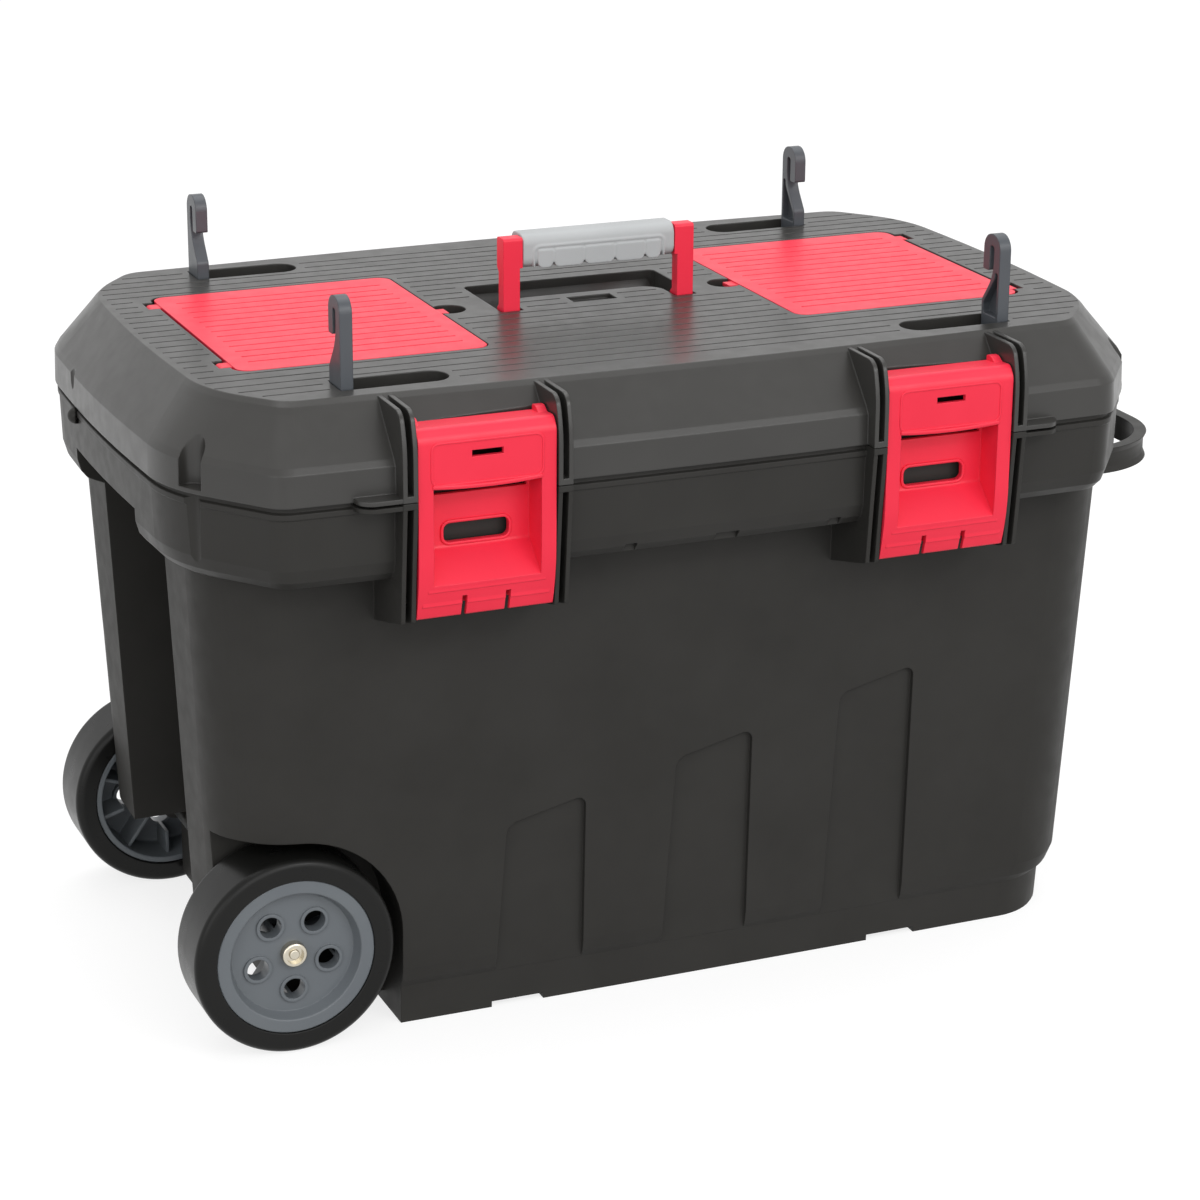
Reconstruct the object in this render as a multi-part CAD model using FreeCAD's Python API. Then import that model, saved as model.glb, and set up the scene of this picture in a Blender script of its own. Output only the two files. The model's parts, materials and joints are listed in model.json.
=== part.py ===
"""Rolling jobsite storage box: tub, hinged lid, latches, organisers, handle, hooks and wheels.

Millimetres. +X points to the pull handle, the latches are on the -Y side, +Z is up.
The origin is on the ground under the middle of the lid.
"""
import FreeCAD
import Part
import math
import os

V = FreeCAD.Vector
X_AXIS = V(1, 0, 0)
Y_AXIS = V(0, 1, 0)

# Heights of the shells
PART_LINE = 372.0          # height at which lid and tub meet
PART_GAP = 0.6             # gap between lid and tub
LID_HEIGHT = 56.0          # lid above the parting line
CREASE_HEIGHT = 22.0       # upright band of the lid, up to its crease
RIM_HEIGHT = 58.0          # rim of the tub, below the parting line
PLINTH_HEIGHT = 26.0
FOOT_HEIGHT = 4.0          # feet stand this far below the plinth's notches

# Plan of lid and rim at the parting line, measured at the middle of each side
LID_LENGTH = 676.0
LID_DEPTH = 428.0
CUT_LENGTH = 57.0          # corner cut along X
CUT_DEPTH = 76.0           # corner cut along Y
END_BOW = 6.0              # how far the middle of an end stands out
FRONT_BOW = 9.0
CUT_EDGE_ROUND = 9.0
CUT_END_ROUND = 30.0
CUT_EDGE_FOLLOW = 0.45     # share of an inset that the cut's edge points follow along X
CUT_END_FOLLOW = 0.3       # and its end points along Y
BOW_ROUND = 0.55           # share of a side's half length that its bowed middle takes
RIM_SETBACK = 1.5          # rim behind the lid's edge
CREASE_SOFT = 2.0          # half height of the soft crease
CREASE_LEAN = 0.6          # inset below the crease
CREASE_STEP = 3.2          # inset above the crease
SLOPE_INSET = 28.5         # top edge of the lid behind its crease, front and rear
END_INSET_SHARE = 0.88     # the same at the ends, as a share
NECK_HEIGHT = 3.0          # shadow gap under the lid's edge
NECK_SINK = 2.5
BEAD_HEIGHT = 4.0          # bead of the rim below that gap
BEAD_RISE = 1.0
BEAD_EDGE = 0.8            # height of the bead's slanted edges
TOP_EDGE_ROUND = 4.5
TOP_EDGE_LIFT = 1.5        # height and inset of the middle of that rounding
TOP_EDGE_LEAN = 1.0
RIM_CURVE = ((5.0, 9.0), (10.0, 4.5), (18.0, 2.0))   # heights above the rim's foot, and insets there

# Plan of the wall below the rim
RIM_END_OVERHANG = 16.5    # rim beyond the wall at the ends
RIM_OVERHANG = 48.0        # and at the front and rear
WHEEL_END_SETBACK = 6.0    # further overhang at the wheel end
WALL_BOW = 2.0
WALL_CORNER = 34.0
WALL_CORNER_ROUND = 19.0
WALL_CORNER_FOLLOW = 0.4   # share of an inset by which the corner gets smaller
END_DRAFT = 13.0           # each end draws in by this over the wall's height
FRONT_DRAFT = 8.5
PLINTH_SETBACK = 4.0
PLINTH_END_SETBACK = 9.0
WALL_FOOT_ROUND = 14.0     # height of the wall's rounded lower edge
WALL_FOOT_BEND = 0.35      # share of that height and of the setback at its bend

# Wall thicknesses
TUB_WALL = 4.0
TUB_FLOOR = 5.0
LID_WALL = 4.0
POCKET_WALL = 3.0

# Sunk bands on the front and rear walls
BAND_COUNT = 3
BAND_FIRST = -121.0
BAND_PITCH = 117.0
BAND_WIDTH = 54.0
BAND_HEIGHT = 130.0
BAND_RISE = 28.5           # each band is this much taller than the one before
BAND_SLOPE = 13.0          # fall of a band's top edge across its width
BAND_LEAN = 7.0            # lean of a band's left edge
BAND_ROUND = 7.0
BAND_SINK = 3.5

# Notches under the plinth, between the feet
FOOT_NOTCHES = ((-129.0, 36.0), (144.0, 36.0))

# Recess at the wheel end and the posts beside it
RECESS_WIDTH = 140.0
RECESS_AXLE_GAP = 2.0      # back wall of the recess behind the axle
RECESS_RIM = 32.0          # height of the rim left above the recess
POST_RISE = 7.5            # flat lower end of the posts above the axle's middle

# Vertical finger grooves at the four corners
GROOVE_WIDTH = 18.0
GROOVE_DEPTH = 12.0        # in the lid
RIM_GROOVE_DEPTH = 5.0     # and in the rim
GROOVE_SHARE = 0.22        # place along the corner cut, from its end-side edge
GROOVE_TOP = 36.0          # above the parting line
GROOVE_LEDGE = 3.0         # ledge that closes the lid's grooves at their foot

# Latch bays and latches
LATCH_PLACE = 155.5        # latch centre from the middle
LATCH_WIDTH = 88.0
LATCH_SIDE_GAP = 0.8
LATCH_RISE = 43.0          # top of the latch above the parting line
LATCH_DROP = 76.5          # its foot below that line
LATCH_SETBACK = 2.0        # its face behind the fins
LATCH_THICKNESS = 25.0
LATCH_WALL = 3.2
LATCH_EDGE = 1.5
LATCH_FOOT_LEAN = 6.0      # the latch's foot draws in by this
LATCH_FOOT_BEND = 22.0     # over this height
LATCH_FOOT_ROUND = 18.0
LATCH_TOP_LEAN = 5.0       # the same at its top
LATCH_TOP_BEND = 6.5
LATCH_TOP_ROUND = 2.5
LATCH_LEDGE_FALL = 1.5
LATCH_EAR_WIDTH = 6.0      # raised tips at the ends of the ledge
LATCH_EAR_RISE = 2.2
LATCH_EAR_LENGTH = 14.0
LATCH_EAR_FLAT = 5.5
BAY_BACK_GAP = 3.0
BAY_TOP_GAP = 1.5
LATCH_PIVOT_SINK = 14.5    # pivot behind the latch's face
LATCH_PIVOT_RISE = 10.5    # pivot above its foot
LATCH_PIN_DIAMETER = 4.0
LATCH_BARREL_DIAMETER = 9.0
POCKET_SIDE = 9.5          # finger pocket inside the latch's sides
POCKET_LIP_DROP = 37.0     # its upper lip below the latch's top
POCKET_BACK_RISE = 39.5    # its back wall's foot above the latch's foot
POCKET_RAMP_RISE = 20.5    # and its ramp's foot
POCKET_DEPTH = 21.0
POCKET_GAP = 10.0          # gap over the pocket's back wall
EYE_LENGTH = 42.0          # oblong hole in the pocket's back wall
EYE_HEIGHT = 12.0
EYE_RISE = 8.5             # its middle above the back wall's foot
EYE_ROUND = 4.0
SLOT_LENGTH = 20.0
SLOT_HEIGHT = 4.0
SLOT_DROP = 17.0           # slot's middle below the latch's top
SLIT_WIDTH = 3.2
SLIT_SPACING = 28.0
SLIT_LENGTH = 13.5

# Fins beside the latches
FIN_THICKNESS = 2.7
FIN_GAP = 3.9
FIN_PROUD = 5.5            # fins in front of the lid's edge
FIN_TAPER = 7.0            # the tub's fins draw in by this towards their foot
FIN_FOOT_DROP = 1.0        # fins' foot below the latch's
FIN_ROOT_DROP = 13.0       # fins' root at the wall below their foot
FIN_ROUND = 10.0
FIN_TOP_DROP = 1.0
FIN_TOP_LEAN = 6.0         # the lid's fins draw in by this at their top
FIN_TOP_BEND = 20.0        # over this height
FIN_TOP_ROUND = 7.0
FIN_EDGE = 2.0

# Round-nosed ledges at the parting line, beside the outer fins
NOSE_LENGTH = 28.0
NOSE_HEIGHT = 2.8
NOSE_GAP = 1.2             # upper side of the tub's ledges below its top
NOSE_SETBACK = 0.5         # behind the fins' front
NOSE_ROUND = 11.0

# Lid hinge at the rear
HINGE_PLACE = 155.5
HINGE_OUT = 6.0            # hinge line outside the lid's edge
KNUCKLE_DIAMETER = 14.0
KNUCKLE_LENGTH = 30.0
KNUCKLE_GAP = 0.6
HINGE_PIN_DIAMETER = 5.0
PIN_PLAY = 0.05            # radial running clearance of every pin

# Organiser openings, trays and red lids
ORGANISER_WELL_GAP = 37.5  # red lid beside the handle's well
ORGANISER_END_GAP = 67.0   # red lid inside the lid's end
ORGANISER_HOOK_GAP = 51.0  # red lid inside the hooks' middle
ORGANISER_ROUND = 9.0
ORGANISER_THICKNESS = 3.2
ORGANISER_GAP = 1.0        # gap round a red lid
SEAT_GAP = 0.5             # gap below a red lid
SEAT_WIDTH = 5.0
TRAY_FLANGE = 1.6
TRAY_WALL = 2.0
TRAY_HEIGHT = 36.0
TRAY_GAP = 0.4
TAB_INSET = 20.0           # hinge tab inside the red lid's corner
TAB_WIDTH = 11.0
TAB_REACH = 5.0            # hinge line outside the red lid's edge
TAB_DIAMETER = 6.4
TAB_POCKET_WIDTH = 17.0
ORGANISER_PIN_DIAMETER = 2.5
SNAP_WIDTH = 11.0
SNAP_REACH = 6.5
SNAP_THICKNESS = 2.4
SCOOP_DIAMETER = 23.0
SCOOP_DEPTH = 7.0
SCOOP_REACH = 8.0          # scoop's middle before the red lid's edge

# Carry handle
HANDLE_SPAN = 135.0        # over the outer faces of the arms
ARM_WIDTH = 11.5
ARM_DEPTH = 11.5           # of an arm's head and foot
SHANK_DEPTH = 8.5          # of an arm between them
HEAD_WIDTH = 13.5
HEAD_HEIGHT = 20.0
ARM_FOOT_RISE = 7.0        # foot's height above its pivot
ARM_STEP = 3.0             # height of the slants between shank, head and foot
ARM_PLACE = -12.5          # middle of the arms along Y, also the pivot
HANDLE_RISE = 47.5         # top of the arms above the lid's top
HANDLE_PIVOT_DROP = 7.0
HANDLE_PIN_DIAMETER = 5.0
HANDLE_PIN_HOLD = 3.5      # a pin's length inside the lid's wall
ARM_ROUND = 2.0
CORE_WIDTH = 8.0
CORE_HEIGHT = 9.0
GRIP_DEPTH = 22.0
GRIP_HEIGHT = 22.2
GRIP_ROUND = 7.0
GRIP_OVER = 1.5            # grip above the arms' tops
GRIP_END_GAP = 0.4
LOBE_PITCH = 21.6          # finger lobes of the grip
LOBE_FULL = 3              # lobes of full length, between two short ones
LOBE_END = 11.5
LOBE_GAP = 0.9
LOBE_PROUD = 1.1
LOBE_DROP = 0.4            # lobes below the grip's lower side
LOBE_HEIGHT = 12.0
LOBE_DEPTH = 9.0
LOBE_ROUND = 3.6
LOBE_EDGE = 1.2
WELL_BACK_GAP = 9.5        # round the folded handle
WELL_FLOOR_GAP = 2.75
WELL_SIDE_GAP = 2.0
WELL_ROUND = 5.0
TONGUE_GAP = 9.9          # tongue between the arms, before the folded grip
TONGUE_ROUND = 14.0
TONGUE_POCKET_LENGTH = 31.0
TONGUE_POCKET_DEPTH = 14.0
TONGUE_POCKET_SINK = 3.0

# Hooks and their slots
HOOK_END_DISTANCE = 115.0  # hook inside the lid's end
HOOK_SIDE_DISTANCE = 65.0  # and inside its side
HOOK_WIDTH = 21.0
HOOK_THICKNESS = 8.0
HOOK_RISE = 55.5
HOOK_PIVOT_DROP = 6.0
HOOK_STEM = 7.5
HOOK_MOUTH = 5.5
HOOK_TIP = 31.0            # height of the hook's tip above the lid's top
HOOK_THROAT = 29.0         # height at which the stem widens to the brace
HOOK_BASE = 10.5           # height of the upright foot of the brace
HOOK_CURL = 10.0
HOOK_EDGE = 1.5
HOOK_CORE_WALL = 2.0
HOOK_CORE_DEPTH = 5.0
HOOK_PIN_DIAMETER = 4.0
HOOK_PIN_HOLD = 4.0
HOOK_SIDE_GAP = 2.0        # round the folded hook
HOOK_TIP_GAP = 6.5
HOOK_FLOOR_GAP = 2.0
HOOK_END_GAP = 0.6

# Grooves of the lid's top and of the red lids
LINE_PITCH = 13.0
LINE_WIDTH = 1.6
LINE_SINK = 0.9
LINE_MARGIN = 5.0

# Wheels
WHEEL_END_DISTANCE = 50.5  # axle inside the wall's end
TYRE_DIAMETER = 131.0
TYRE_WIDTH = 45.0
TYRE_SHOULDER = 5.0
TYRE_THICKNESS = 14.0
HUB_SEAT_GAP = 0.05
HUB_SETBACK = 1.0          # hub's rim behind the tyre's side
HUB_RING = 8.5
HUB_RING_SLOPE = 3.0
HUB_EDGE = 0.8
HUB_FILLET = 2.0
HUB_SINK = 8.0
HUB_PLATE = 4.0
HUB_SLEEVE_DIAMETER = 22.0
HUB_HOLE_COUNT = 5
HUB_HOLE_DIAMETER = 14.0
HUB_HOLE_CIRCLE = 49.0
HUB_COLLAR = 2.2
HUB_COLLAR_RISE = 1.5
HUB_RIB_COUNT = 10
HUB_RIB = 2.4
WHEEL_PROUD = 0.5          # tyre's outer side beyond the wall
ARCH_GAP = 8.0
WHEEL_SIDE_GAP = 4.0
AXLE_DIAMETER = 10.0
AXLE_LUG_DIAMETER = 21.0
AXLE_LUG_WIDTH = 14.0
CAP_DIAMETER = 16.5
CAP_RISE = 5.5
CAP_ROUND = 1.8
CAP_SOCKET = 11.6
CAP_STUD = 6.8             # stud in the middle of the cap's socket
CAP_STUD_DROP = 1.0
CAP_STUD_EDGE = 1.0

# Pull handle at the end away from the wheels
PULL_INSET = 30.0          # inside the wall's sides
PULL_OUT = 42.0            # outer edge beyond the lid's end
PULL_HEIGHT = 17.0
PULL_RISE = 10.5           # top above the rim's foot
PULL_THICKNESS = 8.5
PULL_CORNER = 62.0
PULL_WAIST = 1.8
PULL_LIP = 4.0

# Small moulded details
STUD_DIAMETER = 11.0
STUD_PLACE = 62.0
STUD_DROP = 7.7            # below the parting line
OVAL_LENGTH = 24.0
OVAL_WIDTH = 11.0
OVAL_SINK = 2.6
RIM_NOTCHES = ((-57.0, 8.0), (8.0, 16.0), (83.0, 8.0))
RIM_NOTCH_HEIGHT = 11.0
RIM_NOTCH_DEPTH = 12.0

# Values worked out from the sizes above
LID_TOP = PART_LINE + LID_HEIGHT
LID_FOOT = PART_LINE + PART_GAP / 2
TUB_TOP = PART_LINE - PART_GAP / 2
RIM_FOOT = PART_LINE - RIM_HEIGHT
FAR = LID_LENGTH + LID_DEPTH
WALL_LENGTH = LID_LENGTH - 2 * RIM_END_OVERHANG
WALL_DEPTH = LID_DEPTH - 2 * RIM_OVERHANG
FIN_FRONT = LID_DEPTH / 2 + FIN_PROUD
FIN_PAIR = 2 * FIN_THICKNESS + FIN_GAP
LATCH_TOP = PART_LINE + LATCH_RISE
LATCH_FOOT = PART_LINE - LATCH_DROP
LATCH_FACE = FIN_FRONT - LATCH_SETBACK
LATCH_LEDGE = LATCH_FACE - LATCH_THICKNESS
LATCH_PIVOT_DEPTH = LATCH_FACE - LATCH_PIVOT_SINK
LATCH_PIVOT_HEIGHT = LATCH_FOOT + LATCH_PIVOT_RISE
BAY_DEPTH = LATCH_LEDGE - BAY_BACK_GAP
BAY_HALF = LATCH_WIDTH / 2 + LATCH_SIDE_GAP
POCKET_WIDTH = LATCH_WIDTH - 2 * POCKET_SIDE
POCKET_LIP = LATCH_TOP - POCKET_LIP_DROP
POCKET_BACK_FOOT = LATCH_FOOT + POCKET_BACK_RISE
POCKET_RAMP_FOOT = LATCH_FOOT + POCKET_RAMP_RISE
POCKET_BACK = LATCH_FACE - POCKET_DEPTH
EYE_PLACE = POCKET_BACK_FOOT + EYE_RISE
SLOT_PLACE = LATCH_TOP - SLOT_DROP
FIN_FOOT = LATCH_FOOT - FIN_FOOT_DROP
FIN_ROOT = FIN_FOOT - FIN_ROOT_DROP
HINGE_DEPTH = LID_DEPTH / 2 + HINGE_OUT
AXLE_HEIGHT = TYRE_DIAMETER / 2
ARCH_RADIUS = TYRE_DIAMETER / 2 + ARCH_GAP
HUB_DIAMETER = TYRE_DIAMETER - 2 * TYRE_THICKNESS
WHEEL_PLACE = WHEEL_END_DISTANCE + WHEEL_END_SETBACK - WALL_LENGTH / 2
WHEEL_FACE = WALL_DEPTH / 2 + WHEEL_PROUD
WELL_INNER = WHEEL_FACE - TYRE_WIDTH - WHEEL_SIDE_GAP
RECESS_BACK = -WHEEL_PLACE - AXLE_DIAMETER / 2 - RECESS_AXLE_GAP
POST_FOOT = AXLE_HEIGHT + POST_RISE
PULL_SPAN = WALL_DEPTH - 2 * PULL_INSET
PULL_REACH = LID_LENGTH / 2 + PULL_OUT
PULL_TOP = RIM_FOOT + PULL_RISE
SIDES = (-1, 1)
NEARLY_ROUND = 0.98        # share of a half width taken by each corner of a round end
OVERCUT = 1.0              # a cutting tool runs this far past the surface


def box(x0, x1, y0, y1, z0, z1):
    """Box between two corners given in any order."""
    low = V(min(x0, x1), min(y0, y1), min(z0, z1))
    return Part.makeBox(abs(x1 - x0), abs(y1 - y0), abs(z1 - z0), low)


def rod(diameter, start, end):
    """Round rod between two points."""
    axis = end.sub(start)
    return Part.makeCylinder(diameter / 2, axis.Length, start, axis)


def join(shapes):
    """One shape from several."""
    first = shapes[0]
    if len(shapes) == 1:
        return first
    return first.multiFuse(shapes[1:]).removeSplitter()


def ring(corners, place):
    """Closed wire through corners (a, b, cut): an arc rounds a corner, starting cut before it."""
    count = len(corners)
    starts = []
    ends = []
    middles = []
    for index, (a, b, cut) in enumerate(corners):
        here = V(a, b, 0)
        before = corners[index - 1]
        after = corners[(index + 1) % count]
        back = V(before[0], before[1], 0).sub(here).normalize()
        ahead = V(after[0], after[1], 0).sub(here).normalize()
        starts.append(here.add(V(back).multiply(cut)))
        ends.append(here.add(V(ahead).multiply(cut)))
        if cut > 0:
            half = back.getAngle(ahead) / 2
            inward = back.add(ahead).normalize()
            reach = cut / math.cos(half) - cut * math.tan(half)
            middles.append(here.add(inward.multiply(reach)))
        else:
            middles.append(None)
    edges = []
    for index in range(count):
        if middles[index] is not None:
            arc = Part.Arc(place(starts[index]), place(middles[index]), place(ends[index]))
            edges.append(arc.toShape())
        follow = (index + 1) % count
        if ends[index].distanceToPoint(starts[follow]) > 1e-6:
            edges.append(Part.makeLine(place(ends[index]), place(starts[follow])))
    return Part.Wire(edges)


def flat_ring(corners, z):
    """Closed wire in a level plane."""
    return ring(corners, lambda p: V(p.x, p.y, z))


def plate(corners, z0, z1):
    """Upright prism on a level outline."""
    return Part.Face(flat_ring(corners, z0)).extrude(V(0, 0, z1 - z0))


def side_plate(corners, x0, x1):
    """Prism along X on an outline of (y, z, cut)."""
    return Part.Face(ring(corners, lambda p: V(x0, p.x, p.y))).extrude(V(x1 - x0, 0, 0))


def front_plate(corners, y0, y1):
    """Prism along Y on an outline of (x, z, cut)."""
    return Part.Face(ring(corners, lambda p: V(p.x, y0, p.y))).extrude(V(0, y1 - y0, 0))


def rectangle(x0, x1, y0, y1, cut):
    """Corners of a level rectangle, all rounded alike."""
    return [(x0, y0, cut), (x1, y0, cut), (x1, y1, cut), (x0, y1, cut)]


def eight_sided(half_length, half_depth, edge, end, bows):
    """Corners of a bowed oblong with cut corners; edge and end are (x, y, cut) of one corner cut."""
    front = (0, -half_depth, bows[0])
    side = (half_length, 0, bows[1])
    quarter = [edge, end]
    corners = [front]
    corners += [(x, -y, cut) for x, y, cut in quarter]
    corners.append(side)
    corners += [(x, y, cut) for x, y, cut in reversed(quarter)]
    corners.append((0, half_depth, bows[0]))
    corners += [(-x, y, cut) for x, y, cut in quarter]
    corners.append((-half_length, 0, bows[1]))
    corners += [(-x, -y, cut) for x, y, cut in reversed(quarter)]
    return corners


def cut_corner(inset):
    """The two points of the lid's corner cut, at a distance inside the parting-line outline."""
    edge_x = LID_LENGTH / 2 - CUT_LENGTH - CUT_EDGE_FOLLOW * inset
    edge_y = LID_DEPTH / 2 - FRONT_BOW - inset
    end_x = LID_LENGTH / 2 - END_BOW - END_INSET_SHARE * inset
    end_y = LID_DEPTH / 2 - CUT_DEPTH - CUT_END_FOLLOW * inset
    return (edge_x, edge_y, CUT_EDGE_ROUND), (end_x, end_y, CUT_END_ROUND)


def lid_ring(z, inset):
    """Outline of lid and rim at a height, drawn in by an inset."""
    edge, end = cut_corner(inset)
    bows = (BOW_ROUND * edge[0], BOW_ROUND * end[1])
    half_length = LID_LENGTH / 2 - END_INSET_SHARE * inset
    return flat_ring(eight_sided(half_length, LID_DEPTH / 2 - inset, edge, end, bows), z)


def wall_ring(z, inset, end_inset=None):
    """Outline of the drafted wall at a height, drawn in by an inset."""
    fall = (RIM_FOOT - z) / (RIM_FOOT - PLINTH_HEIGHT)
    sideways = inset if end_inset is None else end_inset
    half_length = WALL_LENGTH / 2 - END_DRAFT * fall - sideways
    half_depth = WALL_DEPTH / 2 - FRONT_DRAFT * fall - inset
    corner = WALL_CORNER - WALL_CORNER_FOLLOW * inset
    edge = (half_length - corner, half_depth - WALL_BOW, WALL_CORNER_ROUND)
    end = (half_length - WALL_BOW, half_depth - corner, WALL_CORNER_ROUND)
    bows = (BOW_ROUND * edge[0], BOW_ROUND * end[1])
    corners = eight_sided(half_length, half_depth, edge, end, bows)
    return flat_ring([(x + WHEEL_END_SETBACK if x < 0 else x, y, cut) for x, y, cut in corners], z)


def stack(rings):
    """Solid with flat or ruled sides through level outlines."""
    return Part.makeLoft(rings, True, True)


def mirrored(shape):
    """Copy on the other side of the middle plane across X."""
    return shape.mirror(V(0, 0, 0), X_AXIS)


def both_sides(shape):
    """Shape and its copy across X."""
    return [shape, mirrored(shape)]


def lid_side_at(x):
    """Distance of the lid's front edge from the middle plane, at a place along X."""
    return LID_DEPTH / 2 - FRONT_BOW * x / (LID_LENGTH / 2 - CUT_LENGTH)


def lid_end_at(y):
    """Distance of the lid's end edge from the middle, at a distance from the X axis."""
    return LID_LENGTH / 2 - END_BOW * y / (LID_DEPTH / 2 - CUT_DEPTH)


def corner_grooves(z0, z1, depth, spare):
    """Round-bottomed upright grooves on the four corner cuts, larger by a spare wall."""
    edge, end = cut_corner(0)
    edge_point = V(edge[0], edge[1], 0)
    end_point = V(end[0], end[1], 0)
    along = edge_point.sub(end_point)
    place = end_point.add(V(along).multiply(GROOVE_SHARE))
    outward = V(-along.y, along.x, 0).normalize()
    if outward.x < 0:
        outward = outward.negative()
    radius = GROOVE_WIDTH / 2 + spare
    across = V(-outward.y, outward.x, 0).multiply(radius)
    bottom = place.sub(V(outward).multiply(depth - GROOVE_WIDTH / 2))
    mouth = place.add(V(outward).multiply(GROOVE_WIDTH * 2))
    points = [bottom.add(across), bottom.sub(across), mouth.sub(across), mouth.add(across)]
    corners = [(p.x, p.y, 0) for p in points]
    groove = plate(corners, z0, z1)
    groove = groove.fuse(Part.makeCylinder(radius, z1 - z0, V(bottom.x, bottom.y, z0)))
    quarter = both_sides(groove)
    return quarter + [piece.mirror(V(0, 0, 0), Y_AXIS) for piece in quarter]


def fin_pairs(profile):
    """The four pairs of fins beside the two latches, from one side profile."""
    fins = []
    for side in SIDES:
        for flank in SIDES:
            inner = side * LATCH_PLACE + flank * BAY_HALF
            outer = inner + flank * (FIN_THICKNESS + FIN_GAP)
            fins.append(side_plate(profile, inner, inner + flank * FIN_THICKNESS))
            fins.append(side_plate(profile, outer, outer + flank * FIN_THICKNESS))
    return fins


def fin_bars(y0, y1, z0, z1):
    """Short bars that close each pair of fins at the parting line."""
    bars = []
    for side in SIDES:
        for flank in SIDES:
            inner = side * LATCH_PLACE + flank * BAY_HALF
            bars.append(box(inner, inner + flank * FIN_PAIR, y0, y1, z0, z1))
    return bars


def flank_ledges(sink, z0, z1):
    """Ledges from the outer fins along the wall, rooted by a sink behind the lid's edge."""
    start = LATCH_PLACE + BAY_HALF + FIN_PAIR - FIN_THICKNESS / 2
    nose = start + NOSE_LENGTH
    front = NOSE_SETBACK - FIN_FRONT
    root = sink - lid_side_at(nose)
    return both_sides(plate([(start, front, 0), (nose, front, NOSE_ROUND), (nose, root, 0), (start, root, 0)],
                            z0, z1))


def bay_boxes(y_back, z0, z1, spare):
    """Blocks that fill the two latch bays, larger by a spare wall."""
    half = BAY_HALF + spare
    return [box(side * LATCH_PLACE - half, side * LATCH_PLACE + half, -y_back + spare, -FAR, z0, z1)
            for side in SIDES]


def knuckles(on_lid):
    """Hinge knuckles of the lid, or of the tub on either side of them, each with its web."""
    up = 1 if on_lid else -1
    sink = LID_WALL / 2 if on_lid else RIM_SETBACK + NECK_SINK + TUB_WALL / 2
    root = lid_side_at(HINGE_PLACE) - sink
    radius = KNUCKLE_DIAMETER / 2
    turn = NEARLY_ROUND * radius
    web = PART_LINE + up * radius
    far = PART_LINE - up * radius
    profile = [(root, web, 0), (HINGE_DEPTH + radius, web, turn), (HINGE_DEPTH + radius, far, turn),
               (HINGE_DEPTH - radius, far, turn), (HINGE_DEPTH - radius, PART_LINE + up * KNUCKLE_GAP, 0),
               (root, PART_LINE + up * KNUCKLE_GAP, 0)]
    pieces = []
    for side in SIDES:
        middle = side * HINGE_PLACE
        near = KNUCKLE_LENGTH / 2
        spans = [(middle - near, middle + near)]
        if not on_lid:
            near += KNUCKLE_GAP
            spans = [(middle + near, middle + near + KNUCKLE_LENGTH),
                     (middle - near, middle - near - KNUCKLE_LENGTH)]
        pieces += [side_plate(profile, x0, x1) for x0, x1 in spans]
    return pieces


def hinge_rods(diameter):
    """Rods on the lid's hinge line, through all its knuckles."""
    half = 1.5 * KNUCKLE_LENGTH + KNUCKLE_GAP
    return [rod(diameter, V(side * HINGE_PLACE - half, HINGE_DEPTH, PART_LINE),
                V(side * HINGE_PLACE + half, HINGE_DEPTH, PART_LINE)) for side in SIDES]


def bore(diameter):
    """Bore diameter for a pin, with its running clearance."""
    return diameter + 2 * PIN_PLAY


# Lid: places shared by its openings and the pieces in them
RED_TOP = LID_TOP
RED_FOOT = LID_TOP - ORGANISER_THICKNESS
FLANGE_TOP = RED_FOOT - SEAT_GAP
SEAT_HEIGHT = FLANGE_TOP - TRAY_FLANGE
WELL_HALF = HANDLE_SPAN / 2 + WELL_SIDE_GAP
HOOK_PLACE = LID_LENGTH / 2 - HOOK_END_DISTANCE
HOOK_DEPTH = LID_DEPTH / 2 - HOOK_SIDE_DISTANCE
RED_X0 = WELL_HALF + ORGANISER_WELL_GAP
RED_X1 = LID_LENGTH / 2 - ORGANISER_END_GAP
RED_Y = HOOK_DEPTH - ORGANISER_HOOK_GAP
TAB_PLACE = RED_Y - TAB_INSET
TAB_LINE = RED_X1 + TAB_REACH
TAB_HEIGHT = LID_TOP - TAB_DIAMETER / 2 - PART_GAP
TAB_POCKET_X1 = TAB_LINE + TAB_DIAMETER / 2 + ORGANISER_GAP
TAB_POCKET_FOOT = TAB_HEIGHT - TAB_DIAMETER / 2 - ORGANISER_GAP
SWING_RADIUS = math.hypot(TAB_REACH, RED_FOOT - TAB_HEIGHT)
SWING_CLEAR = math.sqrt(SWING_RADIUS ** 2 - (LID_TOP - TAB_HEIGHT) ** 2)
RED_HINGE_GAP = TAB_REACH - SWING_CLEAR + SEAT_GAP
SCOOP_X = RED_X0 - SCOOP_REACH
SCOOP_FOOT = LID_TOP - SCOOP_DEPTH
WELL_FRONT = ARM_PLACE - ARM_DEPTH / 2 - WELL_SIDE_GAP
WELL_FOOT = LID_TOP - HANDLE_PIVOT_DROP - GRIP_DEPTH + ARM_DEPTH / 2 - WELL_FLOOR_GAP
GRIP_REACH = HANDLE_PIVOT_DROP + HANDLE_RISE + GRIP_OVER
WELL_BACK = ARM_PLACE + GRIP_REACH + WELL_BACK_GAP
TONGUE_EDGE = ARM_PLACE + GRIP_REACH - GRIP_HEIGHT - LOBE_DROP - TONGUE_GAP
TONGUE_HALF = HANDLE_SPAN / 2 - ARM_WIDTH - WELL_SIDE_GAP
HANDLE_PIVOT = LID_TOP - HANDLE_PIVOT_DROP
HOOK_PIVOT = LID_TOP - HOOK_PIVOT_DROP
HOOK_SLOT_WIDTH = HOOK_WIDTH + 2 * HOOK_SIDE_GAP
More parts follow.
